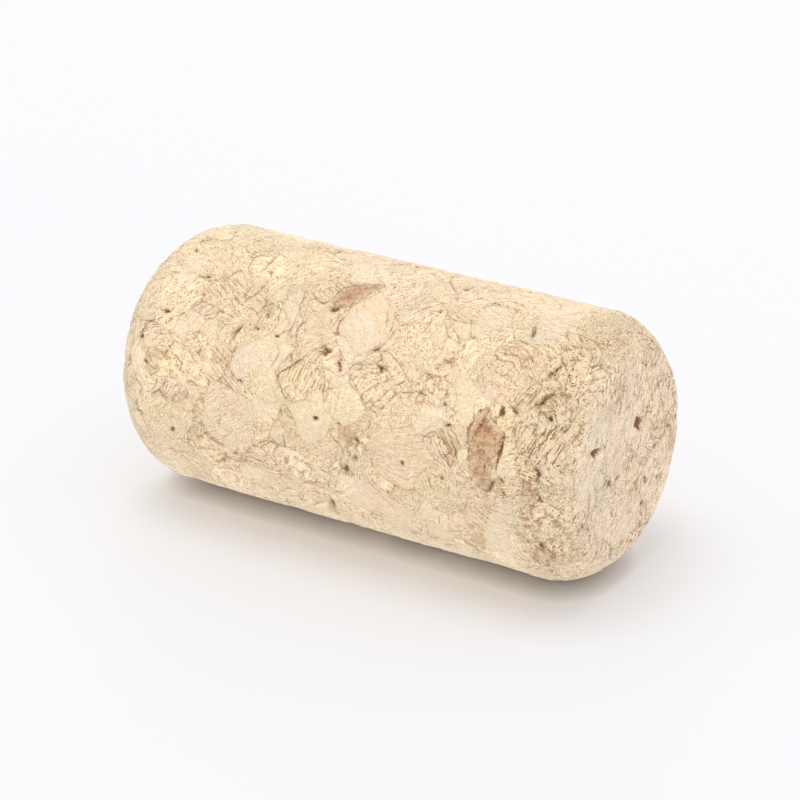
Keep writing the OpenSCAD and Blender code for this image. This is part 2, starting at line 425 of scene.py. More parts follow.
PATCHES = (
    # Bark: two flakes on the front of the side, and two on its back
    draw(Kind.BARK, (19.6, -61), (19.5, -63.7), (19.6, -67), (19.7, -71), (20.2, -73.4), (21.0, -75.5),
         (21.7, -77.6), (22.4, -78.2), (23.0, -78.5), (22.8, -75.8), (22.4, -73), (22.1, -69.7),
         (21.8, -66), (21.4, -62.5), (20.8, -61.4), (20.1, -60.5)),
    draw(Kind.BARK, (37.4, -33.2), (36.75, -30.3), (36.35, -27), (36.1, -23.5), (35.9, -21.2), (36.25, -19),
         (36.05, -17.5), (36.35, -15.5), (36.45, -11), (36.5, -6), (36.6, -2.8), (37.1, -1.7), (37.65, 0.7),
         (38.2, 1.3), (38.7, 0.7), (38.75, -2), (38.6, -7.8), (38.8, -10.6), (39.1, -12.6), (38.95, -14.5),
         (39.2, -17.7), (39.3, -20), (39.1, -21.5), (39.4, -23.2), (39.1, -24.8), (38.55, -25.5),
         (38.4, -27.7), (37.9, -28.3), (37.6, -30.2)),
    draw(Kind.BARK, (14.0, 100), (16.0, 110), (18.3, 128), (17.5, 133), (15.6, 124), (13.6, 107)),
    draw(Kind.BARK, (8.2, -135), (9.6, -126), (12.0, -122), (12.2, -127), (10.0, -136)),
    # Tan: weathered granules and streaks, and painted shade in a few hollows near the upper end
    draw(Kind.TAN, (4.6, -22.5), (5.5, -23), (6.1, -21), (6.1, -17.5), (5.6, -14), (4.9, -11.5),
         (4.3, -13), (4.1, -16.5), (4.2, -20)),
    draw(Kind.TAN, (36.1, 28), (36.8, 24.3), (37.2, 22.5), (37.35, 25), (37.3, 31), (37.05, 36.5), (36.5, 41),
         (35.8, 42.5), (35.9, 37.5), (36.0, 32.5)),
    draw(Kind.TAN, (36.1, 20), (36.75, 19.2), (36.85, 22), (36.5, 25), (36.3, 22.8)),
    draw(Kind.TAN, (35.4, 11.2), (35.8, 11.8), (36.0, 14), (35.7, 16), (35.4, 15)),
    draw(Kind.TAN, (42.4, 22.6), (42.8, 23.2), (42.85, 28), (42.5, 28)),
    draw(Kind.TAN, (41.8, 29), (42.2, 28.8), (42.15, 33), (41.9, 36.7), (41.65, 35.5)),
    # Painted shade in the hollow beside the crease
    draw(Kind.TAN, (41.1, -38.8), (41.4, -41.8), (41.8, -44.5), (42.3, -46), (42.7, -44), (42.7, -38.5),
         (42.4, -35), (41.7, -34.6), (41.3, -35.6)),
    draw(Kind.TAN, (41.5, -5), (42.0, -4.5), (42.4, -1), (42.0, 2.5), (41.5, 1.5)),
    draw(Kind.TAN, (24.0, -9.2), (24.7, -9.5), (25.3, -10), (25.8, -8.5), (26.15, -5.5), (25.9, -2.7),
         (25.1, -3.5), (24.4, -3.6), (24.1, -6)),
    draw(Kind.TAN, (23.9, 7), (24.45, 6), (24.95, 7.3), (25.4, 9.6), (25.2, 12.3), (24.9, 12.2), (24.7, 9.5),
         (24.2, 8.7)),
    draw(Kind.TAN, (21.6, 31), (22.3, 30), (22.4, 35), (22.0, 43), (21.5, 41), (21.6, 36)),
    draw(Kind.TAN, (6.2, 26), (6.6, 25), (6.6, 28), (6.3, 30)),
    # Painted shade below a dark pit
    draw(Kind.TAN, (39.2, -5.5), (39.7, -5), (39.8, 0), (39.5, 2), (39.2, -1)),
    draw(Kind.TAN, (42.0, -35.3), (42.34, -37.2), (42.57, -37.7), (42.76, -37), (42.85, -34.9),
         (42.71, -32.8), (42.48, -32.8), (42.29, -33.9)),
    # Painted shade beside the crease
    draw(Kind.TAN, (41.85, -44.8), (42.5, -44.6), (42.5, -41), (42.1, -38.6), (41.4, -37.6), (41.8, -41)),
    draw(Kind.TAN, (39.6, -33.6), (40.0, -32.8), (40.0, -31), (39.65, -29.8), (39.45, -31)),
    # Painted shade beside the long crack
    draw(Kind.TAN, (40.8, -50.3), (41.3, -50.8), (41.5, -52), (41.2, -51.8)),
    draw(Kind.TAN, (-7.4, 0.2), (-8.1, 0.6), (-8.3, 2.0), (-7.6, 2.5), (-7.1, 1.6), sheet=Sheet.UPPER_END),
    # Chalk: smooth pale granules
    draw(Kind.CHALK, (12.9, -33), (14.2, -36), (15.2, -33), (15.3, -27), (14.6, -21), (13.9, -19),
         (13.1, -21), (12.8, -26)),
    draw(Kind.CHALK, (21.7, -45.8), (21.7, -49.6), (21.8, -53.7), (21.9, -57.5), (22.7, -59.6), (23.8, -61),
         (24.7, -57), (25.2, -52.4), (25.4, -46.5), (25.1, -41.5), (25.0, -38.7), (24.1, -36.4),
         (23.6, -36.7),
         (22.7, -40), (22.1, -43.5)),
    draw(Kind.CHALK, (5.9, -36), (7.0, -36.5), (7.5, -33), (7.0, -31), (6.2, -32)),
    draw(Kind.CHALK, (21.0, -45.5), (21.4, -46.6), (21.5, -43.7), (21.3, -42.5)),
    draw(Kind.CHALK, (32.4, -76), (33.3, -82), (34.8, -82), (35.4, -77), (35.2, -70), (34.0, -65),
         (33.0, -66)),
    draw(Kind.CHALK, (15.5, -64), (16.5, -64), (17.2, -52), (16.8, -50), (15.9, -57)),
    draw(Kind.CHALK, (4.2, -70), (6.2, -70), (6.3, -58), (5.3, -52), (4.2, -55)),
    draw(Kind.CHALK, (24.8, 13), (26.2, 13), (26.3, 19), (25.2, 20)),
    draw(Kind.CHALK, (36.5, -42), (37.6, -41), (37.8, -34), (36.9, -34)),
    draw(Kind.CHALK, (37.4, -66), (38.6, -64), (40.2, -67), (40.8, -78), (40.4, -96), (38.4, -97),
         (37.4, -84)),
    draw(Kind.CHALK, (39.3, 3.4), (40.2, 1.5), (41.0, 5), (40.7, 11), (40.1, 17), (40.1, 25.6), (39.1, 33.3),
         (37.8, 34), (37.8, 24), (38.2, 16), (38.8, 9.8)),
    draw(Kind.CHALK, (5.3, -2.0), (6.0, -1.0), (6.5, 0.4), (6.0, 1.8), (5.0, 2.6), (4.1, 1.6), (4.1, 0.3),
         (4.8, -1.2), sheet=Sheet.UPPER_END),
    draw(Kind.CHALK, (-0.2, -3.0), (0.5, -2.7), (0.4, -1.8), (-0.3, -1.5), (-0.8, -2.1),
         sheet=Sheet.UPPER_END),
    draw(Kind.CHALK, (0.3, 3.8), (0.9, 4.4), (0.3, 5.1), (-0.6, 4.8), (-0.5, 4.0), sheet=Sheet.UPPER_END),
    draw(Kind.CHALK, (-0.1, -7.6), (0.6, -7.2), (0.4, -5.6), (-0.2, -4.3), (-0.8, -4.6), (-0.8, -6.2),
         sheet=Sheet.UPPER_END),
    draw(Kind.CHALK, (39.1, -14), (39.8, -15), (40.3, -13), (40.2, -9), (39.6, -6), (38.9, -6.5),
         (38.9, -10)),
    # Blush: stretches that have crumbled to pink and brown specks
    draw(Kind.BLUSH, (30.0, -33), (31.0, -42), (32.3, -55), (33.1, -54), (33.2, -45), (33.3, -38),
         (33.9, -31), (33.3, -28), (31.5, -27), (30.3, -28)),
    draw(Kind.BLUSH, (25.0, -9.9), (25.6, -9.2), (26.1, -7.3), (26.2, -5), (26.0, -2.7), (25.5, -4),
         (25.1, -6)),
    draw(Kind.BLUSH, (26.3, -1.9), (26.8, -5), (27.3, -5.3), (27.4, -2.7), (26.9, -0.4), (26.4, 0.3)),
    draw(Kind.BLUSH, (21.9, -43), (22.4, -42), (23.2, -36), (23.1, -33), (22.7, -34), (22.1, -39)),
    draw(Kind.BLUSH, (9.2, -7), (10.6, -7), (10.6, -1), (9.6, 0)),
    draw(Kind.BLUSH, (14.4, -55), (14.9, -52), (14.9, -47), (14.4, -47)),
    draw(Kind.BLUSH, (20.6, -43), (21.8, -40), (21.6, -37), (20.9, -38)),
    draw(Kind.BLUSH, (41.5, 4), (42.3, 3), (42.9, 6.5), (42.7, 15), (42.2, 23), (41.6, 18), (41.3, 11)),
    draw(Kind.BLUSH, (41.2, -9), (42.8, -9.5), (43.2, -3), (42.3, 1), (41.2, -3)),
    draw(Kind.BLUSH, (38.8, -50), (40.6, -56), (41.3, -60), (38.2, -58)),
    draw(Kind.BLUSH, (-5.3, -2.9), (-7.2, -1.8), (-8.9, -0.9), (-8.8, 0.4), (-7.7, 0.6), (-6.3, 0.6),
         (-4.9, 0.9),
         (-4.5, 0.1), (-3.5, -1.2), (-4.4, -1.3), (-5.8, -1.5), (-5.9, -2.0), sheet=Sheet.UPPER_END),
    # Bands: granules cut so that their growth lines show as rows
    draw(Kind.BAND, (10.3, -30), (11.2, -31), (12.3, -28), (12.9, -22), (14.0, -18), (13.9, -12.5),
         (13.0, -12), (11.5, -16), (10.6, -20), (10.4, -26), lay=38),
    draw(Kind.BAND, (13.9, -56), (14.3, -66), (14.8, -66), (14.3, -55), (14.1, -46), (13.3, -40),
         (12.5, -41), (13.2, -46), (13.6, -50), lay=112),
    draw(Kind.BAND, (32.6, -18), (33.6, -21), (34.8, -18), (35.4, -12), (35.5, -6), (34.4, -4), (33.3, -7),
         lay=58),
    draw(Kind.BAND, (39.6, -27), (41.8, -31), (44.6, -36), (44.8, -28), (43.8, -16), (42.0, -14),
         (41.0, -10), (40.4, -17), lay=-72),
    draw(Kind.BAND, (38.4, -40), (40.2, -47), (41.6, -47), (41.2, -39), (40.4, -35.5), (39.6, -36), lay=-68),
    draw(Kind.BAND, (18.5, -32), (20.8, -38), (21.6, -33), (22.0, -22), (20.5, -18), (18.6, -20),
         (18.0, -25), lay=100),
    # Pits, besides those of the voids
    spot(Kind.PIT, (4.0, -78), 0.9, 0.3, 90),
    spot(Kind.PIT, (4.4, -71.5), 0.5, 0.3, 60),
    spot(Kind.PIT, (7.1, -59.3), 0.6, 0.35, 30),
    spot(Kind.PIT, (9.3, -25), 0.45, 0.3, 60),
    spot(Kind.PIT, (13.9, -17.8), 0.45, 0.25, 0),
    spot(Kind.PIT, (12.3, -38.5), 1.2, 0.3, -52),
    spot(Kind.PIT, (14.6, -48), 0.5, 0.35, 90),
    spot(Kind.PIT, (14.0, -41), 0.8, 0.25, -20),
    spot(Kind.PIT, (11.6, -75.5), 0.4, 0.3, 0),
    spot(Kind.PIT, (12.5, -69), 0.5, 0.35, 0),
    spot(Kind.PIT, (3.1, -26), 0.5, 0.4, 0),
    spot(Kind.PIT, (4.2, -15.5), 0.5, 0.3, 30),
    draw(Kind.PIT, (20.05, -58.8), (20.15, -60.6), (20.6, -60.8), (20.5, -58.3), (20.2, -57.4)),
    draw(Kind.PIT, (20.75, -41), (21.15, -41), (21.5, -39.2), (21.6, -37), (21.2, -36.5), (21.1, -39)),
    spot(Kind.PIT, (21.0, -37.3), 0.3, 0.25, 0),
    spot(Kind.PIT, (16.3, -40.2), 0.4, 0.3, 0),
    spot(Kind.PIT, (21.5, -48), 0.6, 0.25, -10),
    spot(Kind.PIT, (22.8, -37), 0.5, 0.25, 40),
    spot(Kind.PIT, (23.1, -33.1), 0.45, 0.35, 100),
    spot(Kind.PIT, (21.6, -10.5), 0.6, 0.4, -30),
    spot(Kind.PIT, (23.9, -11), 0.45, 0.25, 0),
    draw(Kind.PIT, (25.4, -44.1), (25.55, -45.8), (25.9, -47), (25.95, -45.7), (25.65, -44.3)),
    draw(Kind.PIT, (26.4, -39), (26.9, -37.8), (27.1, -35.4), (26.75, -35.9), (26.4, -37.7)),
    draw(Kind.PIT, (25.6, 0.7), (25.85, 0.3), (26.0, 1.6), (25.8, 3.3), (25.55, 2.2)),
    draw(Kind.PIT, (25.55, -7.5), (25.8, -7.2), (26.15, -5.2), (26.0, -4), (25.75, -5)),
    draw(Kind.PIT, (38.3, -35), (38.6, -35.4), (38.75, -33.5), (38.9, -32), (38.7, -30.5), (38.4, -29.5),
         (38.3, -32)),
    spot(Kind.PIT, (29.5, -89), 0.5, 0.4, 0),
    spot(Kind.PIT, (29.2, -69.5), 0.6, 0.25, 0),
    spot(Kind.PIT, (23.8, -79), 0.4, 0.3, 90),
    spot(Kind.PIT, (31.3, -40), 0.6, 0.3, 0),
    spot(Kind.PIT, (33.4, -30), 0.6, 0.3, 60),
    spot(Kind.PIT, (31.2, -31.5), 0.9, 0.2, 0),
    spot(Kind.PIT, (32.6, -47), 0.6, 0.2, 0),
    spot(Kind.PIT, (33.4, -61.3), 0.8, 0.2, 0),
    spot(Kind.PIT, (38.0, -70), 0.5, 0.3, 90),
    spot(Kind.PIT, (34.1, -22), 0.5, 0.25, -40),
    spot(Kind.PIT, (33.9, 0.4), 0.35, 0.25, 0),
    spot(Kind.PIT, (30.3, -1.5), 0.6, 0.25, 90),
    spot(Kind.PIT, (12.2, 20), 0.6, 0.3, 70),
    spot(Kind.PIT, (11.8, 23), 0.6, 0.3, 130),
    spot(Kind.PIT, (6.9, 13), 0.6, 0.4, 100),
    spot(Kind.PIT, (3.5, 9), 0.7, 0.4, 0),
    spot(Kind.PIT, (16.0, 34), 0.5, 0.3, 150),
    spot(Kind.PIT, (22.2, 33), 1.6, 0.35, 110),
    spot(Kind.PIT, (42.35, 46), 0.4, 0.5, 0),
    spot(Kind.PIT, (42.7, -10.8), 0.5, 0.4, 90),
    draw(Kind.PIT, (42.3, -35.4), (42.7, -36.4), (42.85, -34.3), (42.6, -33)),
    spot(Kind.PIT, (42.85, 0.4), 0.4, 0.3, 90),
    spot(Kind.PIT, (42.65, -34.8), 0.45, 0.35, 0),
    spot(Kind.PIT, (42.45, -13.0), 0.5, 0.25, 70),
    spot(Kind.PIT, (42.62, -9.6), 0.35, 0.25, 120),
    draw(Kind.PIT, (39.3, -6.1), (39.65, -5.6), (39.95, -4.4), (39.8, -3.5), (39.65, -4.3), (39.4, -5.2)),
    spot(Kind.PIT, (38.95, -23.3), 0.25, 0.2, 0),
    spot(Kind.PIT, (39.2, -23.6), 0.3, 0.2, 60),
    spot(Kind.PIT, (39.25, -22.1), 0.3, 0.25, 0),
    spot(Kind.PIT, (38.88, -18.2), 0.2, 0.15, 0),
    spot(Kind.PIT, (44.0, 15.0), 0.25, 0.25, 0),
    spot(Kind.PIT, (41.69, 22.4), 0.25, 0.2, 0),
    spot(Kind.PIT, (42.7, 28.8), 0.3, 0.25, 0),
    spot(Kind.PIT, (42.6, -68.0), 0.35, 0.2, 80),
    spot(Kind.PIT, (42.88, -47.6), 0.3, 0.2, 30),
    draw(Kind.PIT, (-2.4, -2.6), (-1.7, -3.0), (-1.25, -3.05), (-1.2, -2.6), (-0.95, -2.3), (-1.5, -2.1),
         (-1.9, -1.5), (-2.1, -1.4), (-2.3, -2.1), sheet=Sheet.UPPER_END),
    spot(Kind.PIT, (1.7, 1.25), 0.4, 0.3, 30, Sheet.UPPER_END),
    spot(Kind.PIT, (3.1, 1.1), 0.35, 0.3, 0, Sheet.UPPER_END),
    spot(Kind.PIT, (-1.45, 3.0), 0.5, 0.25, 20, Sheet.UPPER_END),
    spot(Kind.PIT, (-7.1, -0.1), 0.35, 0.25, 0, Sheet.UPPER_END),
    spot(Kind.PIT, (6.9, 2.5), 0.25, 0.2, 0, Sheet.UPPER_END),
    spot(Kind.PIT, (-6.6, -0.2), 0.3, 0.2, 0, Sheet.UPPER_END),
    spot(Kind.PIT, (-2.2, -7.5), 0.4, 0.25, -40, Sheet.UPPER_END),
    spot(Kind.PIT, (-7.7, 2.4), 0.5, 0.25, 10, Sheet.UPPER_END),
    draw(Kind.PIT, (4.2, -2.7), (4.8, -2.65), (5.4, -2.6), (5.9, -2.75), (6.4, -3.0), (6.1, -2.6),
         (6.0, -2.2),
         (5.6, -2.1), (5.1, -2.3), (4.7, -2.5), sheet=Sheet.UPPER_END),
    spot(Kind.PIT, (-0.5, 1.3), 0.4, 0.3, 0, Sheet.UPPER_END),
    spot(Kind.PIT, (-0.1, 2.4), 0.8, 0.25, 25, Sheet.UPPER_END),
    spot(Kind.PIT, (-0.7, 3.4), 0.4, 0.3, 0, Sheet.UPPER_END),
    spot(Kind.PIT, (7.3, 3.4), 0.6, 0.3, 10, Sheet.UPPER_END),
    spot(Kind.PIT, (-5.0, -7.0), 0.5, 0.3, 0, Sheet.UPPER_END),
    spot(Kind.PIT, (-4.7, 0.9), 0.6, 0.2, 0, Sheet.UPPER_END),
    spot(Kind.PIT, (3.1, -6.5), 0.5, 0.3, 0, Sheet.UPPER_END),
    spot(Kind.PIT, (1.7, 5.8), 0.7, 0.25, 40, Sheet.UPPER_END),
)

CRACKS = (
    # Lower part of the side
    crack(0.16, (8.6, -57), (9.0, -60), (9.5, -64), (9.9, -66), (10.3, -65)),
    crack(0.20, (13.0, -64), (12.8, -60), (12.6, -56), (12.0, -53), (11.9, -49)),
    crack(0.14, (12.0, -61), (11.7, -56), (11.6, -51)),
    crack(0.22, (6.8, -28), (6.4, -25), (6.0, -21)),
    crack(0.20, (5.0, -36), (3.6, -33), (3.1, -28), (3.0, -20)),
    crack(0.14, (5.7, -37), (6.4, -38), (6.9, -40), (7.3, -37)),
    crack(0.12, (4.6, -22), (5.3, -24.5), (6.2, -24)),
    crack(0.14, (4.3, -13), (4.9, -10.5), (5.7, -13.5)),
    crack(0.12, (8.2, -46), (8.2, -41)),
    crack(0.14, (9.4, -75), (9.7, -80), (10.2, -83)),
    crack(0.12, (6.1, -81), (7.0, -80), (7.6, -77), (8.1, -71)),
    # Middle
    crack(0.14, (18.4, -78), (18.7, -73), (19.4, -66)),
    crack(0.18, (17.4, -66), (17.7, -62), (18.4, -60), (19.0, -59), (19.4, -61), (19.5, -66)),
    crack(0.12, (18.0, -57), (18.4, -54.5), (19.2, -54.5)),
    crack(0.14, (18.3, -53), (18.3, -49), (17.9, -46), (18.1, -42), (18.6, -38)),
    crack(0.16, (16.2, -40), (16.8, -43), (17.4, -45)),
    crack(0.14, (16.3, -38), (17.1, -34), (16.7, -28), (16.2, -24)),
    crack(0.20, (20.8, -41), (19.8, -36), (19.2, -32.5), (18.2, -27.5), (17.5, -25), (17.5, -22),
          (18.0, -19), (18.6, -16), (19.4, -14)),
    crack(0.16, (21.4, -33), (21.9, -29), (22.1, -22), (22.4, -15)),
    crack(0.12, (22.6, -30), (22.5, -24), (22.5, -18)),
    crack(0.18, (21.8, -59), (21.5, -56), (21.4, -52), (21.5, -48.3), (21.6, -46)),
    crack(0.12, (21.8, -45), (22.1, -43.5), (22.7, -40), (23.5, -36.7)),
    crack(0.16, (24.2, -35.6), (24.6, -36.5), (25.0, -38.7), (25.2, -42), (25.8, -44.1), (26.4, -45.2),
          (26.9, -44.9), (27.6, -43.1), (28.5, -40), (29.3, -36.7), (29.8, -35), (30.1, -33), (29.8, -31.2)),
    crack(0.16, (24.2, -35.6), (24.8, -37.4), (25.5, -37.6), (26.3, -39.3), (26.7, -42.4)),
    crack(0.12, (24.4, -34.6), (25.3, -35.6), (26.0, -36.8)),
    crack(0.16, (26.7, -42.5), (27.0, -40), (27.4, -37), (28.0, -34.3), (28.7, -31.7)),
    crack(0.14, (28.7, -31.7), (29.1, -33.9), (29.5, -36.1)),
    crack(0.12, (27.9, -42.5), (28.6, -41.2), (29.2, -40.5)),
    crack(0.14, (24.1, -7.4), (24.6, -6.8), (25.0, -5.6)),
    crack(0.16, (25.0, -5.6), (25.4, -4.4), (25.9, -2.8), (26.1, -3.6)),
    crack(0.16, (23.2, -6), (23.9, -3), (24.4, -1), (24.7, 4)),
    crack(0.14, (24.9, -2), (25.4, 1.5), (25.7, 4)),
    crack(0.16, (27.4, 0), (27.2, 2.2)),
    crack(0.14, (24.1, 9), (23.9, 12)),
    crack(0.16, (24.5, 6), (25.0, 7.5), (25.4, 9.6), (25.2, 12.3)),
    crack(0.12, (26.2, -10), (27.0, -13), (26.9, -18)),
    crack(0.12, (25.0, -64), (25.3, -60), (25.4, -57)),
    crack(0.12, (25.9, -60), (26.2, -56), (26.0, -50)),
    crack(0.14, (29.1, -66), (29.1, -60), (29.0, -56)),
    crack(0.12, (27.9, -53), (28.5, -54)),
    # Upper part
    crack(0.10, (32.2, -73), (32.5, -79), (33.3, -83.5), (34.5, -84), (35.1, -82), (35.6, -75)),
    crack(0.13, (32.2, -73), (32.3, -70), (32.8, -64), (33.3, -61.5), (33.8, -61)),
    crack(0.16, (37.4, -75), (37.8, -72.5), (38.0, -70)),
    crack(0.14, (36.1, -67), (36.1, -61), (35.9, -58)),
    crack(0.14, (34.8, -29), (34.3, -25.5), (34.2, -24)),
    crack(0.18, (34.0, -21.9), (34.4, -23.1)),
    crack(0.14, (34.4, -21.5), (34.9, -19.2), (35.4, -16), (35.7, -13)),
    crack(0.20, (34.6, -16.4), (35.1, -12.9), (35.4, -9.4), (35.7, -6)),
    crack(0.12, (37.3, 21.9), (37.5, 26.5), (37.3, 34)),
    crack(0.14, (36.2, 27), (36.0, 32.5), (35.9, 37.6), (36.0, 42)),
    crack(0.14, (32.0, -13), (32.6, -17), (33.5, -20)),
    crack(0.24, (40.8, -49.2), (41.1, -49.8), (41.4, -50.1), (41.56, -51.8), (41.7, -53.3), (41.66, -56),
          (41.75, -57.5), (41.86, -59.5)),
    crack(0.12, (41.2, -61), (41.7, -60.8), (41.75, -60)),
    crack(0.14, (39.6, -49.8), (40.1, -48.9), (40.15, -47.6), (40.0, -46.3)),
    crack(0.20, (42.85, -47.4), (42.55, -46.1), (42.2, -45.4), (41.9, -45.2), (41.78, -43.4), (41.73, -41.2),
          (41.5, -39.7), (41.2, -38.2), (41.05, -36.7), (40.9, -35.6), (40.66, -34.2)),
    crack(0.12, (41.75, -51.8), (42.1, -51.3), (42.5, -50.6), (42.65, -48.9), (42.85, -47.5)),
    crack(0.11, (40.87, -45.6), (40.67, -42.7), (40.5, -40.2), (40.58, -37.2), (40.5, -35.8), (40.3, -35.6)),
    crack(0.11, (39.26, -37.4), (39.54, -36.3), (39.9, -35.1), (40.05, -34.4), (40.33, -34.2),
          (40.66, -34.3)),
    crack(0.18, (39.1, -35.8), (39.35, -35), (39.6, -34.2), (39.7, -33.2), (40.0, -33)),
    crack(0.11, (43.05, -44.7), (43.1, -42.9), (43.1, -41.2)),
    crack(0.11, (42.25, -56.4), (42.2, -53.8)),
    # Growth lines that run across the bevel
    crack(0.09, (43.7, -53.3), (43.87, -52.8), (43.9, -49.3), (43.86, -45.9), (43.9, -43.2), (43.94, -40.5),
          (43.8, -37.2), (44.0, -35.3), (43.8, -32.1), (43.6, -29), (43.5, -26.9), (43.46, -25.1)),
    crack(0.12, (43.5, -26.0), (43.2, -22.7), (43.15, -21.6), (43.0, -19.5), (42.95, -17.6)),
    crack(0.17, (44.84, -39.1), (44.67, -35.8), (44.65, -32.3), (44.49, -29.7), (44.28, -26.9),
          (44.07, -24.8), (43.86, -21.8)),
    crack(0.12, (42.43, -30), (42.48, -26.9), (42.53, -25.5), (42.41, -23.7), (42.25, -21.3), (42.15, -19.5),
          (42.0, -18.8)),
    crack(0.11, (44.6, -23), (44.44, -21.6), (44.2, -19.9), (44.02, -17.6), (43.86, -15.7), (43.7, -14)),
    crack(0.14, (44.58, -17.8), (44.39, -16.2), (44.23, -14.6), (44.2, -13.4)),
    crack(0.10, (44.95, -21.6), (44.77, -19.2), (44.72, -18)),
    crack(0.14, (44.86, -15.5), (44.77, -13.9), (44.56, -12.9), (44.6, -10.4)),
    crack(0.13, (40.95, -32.6), (40.6, -30.7), (40.25, -28.6)),
    crack(0.11, (40.1, -28), (39.6, -26.2), (39.3, -25.9)),
    crack(0.16, (41.4, -34.5), (41.7, -33.5), (41.85, -32.4), (41.7, -31), (41.4, -30), (41.0, -28.2)),
    crack(0.10, (41.85, -32.4), (41.92, -29.5), (41.92, -26.8)),
    crack(0.10, (44.95, -28.8), (44.86, -27.4), (44.6, -25.3)),
    crack(0.10, (41.4, -17), (41.73, -17.9), (41.83, -16.7), (41.78, -14.8), (41.5, -13.2)),
    crack(0.15, (41.36, -13), (41.22, -11.3), (40.97, -9.8)),
    crack(0.10, (41.97, -14.8), (41.97, -13.2), (41.6, -12), (41.3, -12.2)),
    crack(0.15, (41.5, -9.4), (41.7, -7.3), (41.6, -5), (41.4, -4.6), (41.6, -3), (41.68, -2.4),
          (41.58, -1.5)),
    crack(0.12, (42.88, -7), (42.86, -4.4)),
    crack(0.26, (42.6, -2.5), (42.85, -1.3), (42.85, 1.3)),
    crack(0.11, (42.65, 1.8), (42.34, 2.9), (42.11, 4.3), (41.87, 6.6), (40.7, 10)),
    crack(0.14, (42.95, 2.7), (43.18, 5), (43.42, 7.4)),
    crack(0.12, (43.69, 7.8), (43.79, 9.9), (44.02, 12.7), (44.0, 15), (44.11, 15.6), (44.28, 17.9)),
    crack(0.13, (42.83, 11.5), (42.76, 13.6), (42.34, 17.5)),
    crack(0.12, (44.72, -2.3), (44.79, -0.9), (44.86, 2.3)),
    crack(0.12, (44.02, -0.4), (44.02, 1.3)),
    crack(0.12, (41.22, 16.7), (41.22, 19.4), (41.55, 21.3), (41.69, 22.3), (41.83, 23.6)),
    crack(0.13, (44.08, -62.7), (44.06, -59), (43.84, -56.6)),
    crack(0.12, (44.63, -60.3), (44.65, -57.2), (44.6, -54.4)),
    crack(0.12, (42.68, -62.8), (42.58, -60.2), (42.68, -59.1)),
    crack(0.10, (44.53, -73.7), (44.48, -70)),
    crack(0.14, (44.31, -69.4), (44.28, -66.8)),
    crack(0.16, (40.7, -72), (41.2, -75.5), (41.9, -77), (42.8, -77.5), (43.4, -77), (43.8, -73)),
    # Round the lower flake of bark
    crack(0.13, (20.0, -60.6), (19.6, -61.4), (19.5, -63.7), (19.6, -67), (19.7, -71), (20.2, -73.4),
          (21.0, -75.5),
          (21.7, -77.6), (22.4, -78.2)),
    crack(0.11, (20.6, -61.2), (21.4, -62.5), (21.8, -66), (22.1, -69.7), (22.4, -73)),
    # Round and on the upper flake of bark
    crack(0.22, (37.4, -32.6), (37.7, -30.6), (37.6, -29), (38.0, -28), (38.4, -27.2), (38.6, -25.6)),
    crack(0.16, (38.8, -25.2), (39.3, -24), (39.4, -22.4), (39.2, -21.4)),
    crack(0.28, (39.3, -20.1), (39.25, -17.7), (39.0, -15.1), (39.05, -12.4), (38.85, -11)),
    crack(0.20, (37.4, -33.2), (36.9, -31.6), (36.6, -30), (36.3, -27.5)),
    crack(0.26, (36.3, -26.5), (36.1, -23.9), (35.95, -21.3), (36.15, -19.2)),
    crack(0.18, (36.1, -18), (36.35, -15.5), (36.4, -12)),
    crack(0.16, (37.2, -12.2), (37.25, -14.6), (37.45, -16.2), (37.8, -15.2), (37.85, -13.2)),
    crack(0.26, (38.0, -11), (37.95, -8), (37.9, -4.4)),
    crack(0.10, (37.0, -28.5), (37.05, -24), (36.9, -20)),
    crack(0.10, (37.5, -27), (37.6, -22.5), (37.5, -19)),
    crack(0.10, (38.4, -24), (38.6, -20), (38.4, -16.5)),
    crack(0.20, (38.2, 1.2), (38.7, 0.8), (38.8, -1.2)),
    crack(0.18, (39.4, -6), (39.75, -5.4), (39.95, -4)),
    crack(0.20, (39.84, -0.8), (39.82, 2)),
    # Lower, right of the middle
    crack(0.16, (33.0, 0.5), (32.9, 4), (33.2, 7)),
    crack(0.14, (18.6, 0), (18.6, 3), (18.9, 7)),
    crack(0.14, (12.2, -1), (12.1, 5)),
    crack(0.16, (13.1, 18), (13.7, 14), (14.3, 13)),
    crack(0.14, (17.0, -7), (17.6, -5), (18.0, -4.5)),
    crack(0.12, (15.6, -2), (15.9, 1), (15.9, 5)),
    crack(0.14, (33.6, 20), (33.2, 25), (33.4, 27)),
    crack(0.18, (43.0, 3.1), (43.3, 7.1), (43.85, 9.9), (44.1, 15.4)),
    crack(0.11, (43.85, 9.9), (43.7, 17.6)),
    crack(0.13, (40.65, 13.5), (40.95, 16.7), (41.35, 19), (42.0, 22.6)),
    crack(0.10, (40.7, 16.1), (40.95, 20.1), (41.4, 22.4)),
    crack(0.14, (42.5, 31.6), (42.55, 36.7), (42.45, 43.2)),
    crack(0.14, (43.2, 19), (43.4, 26), (43.3, 33), (42.9, 41)),
    crack(0.12, (43.7, 18.5), (44.0, 26), (43.8, 34), (43.3, 43)),
    crack(0.12, (44.2, 19), (44.5, 26), (44.4, 34), (43.7, 44)),
    # Upper end
    crack(0.14, (-2.07, -1.6), (-2.14, -0.9), (-1.68, 0.3), (-1.4, 1.2), (-1.3, 1.85), sheet=Sheet.UPPER_END),
    crack(0.14, (-3.2, -1.7), (-4.1, -0.15), (-5.4, 0.46), (-7.0, 0.8), sheet=Sheet.UPPER_END),
    crack(0.10, (-5.2, -0.15), (-4.6, -0.9), (-3.2, -2.3), sheet=Sheet.UPPER_END),
    crack(0.13, (-0.46, -8.2), (0, -7.5), (0.6, -6.6), sheet=Sheet.UPPER_END),
    crack(0.12, (3.6, -2.76), (4.5, -2.65), sheet=Sheet.UPPER_END),
    crack(0.10, (1.8, 1.9), (1.7, 2.5), sheet=Sheet.UPPER_END),
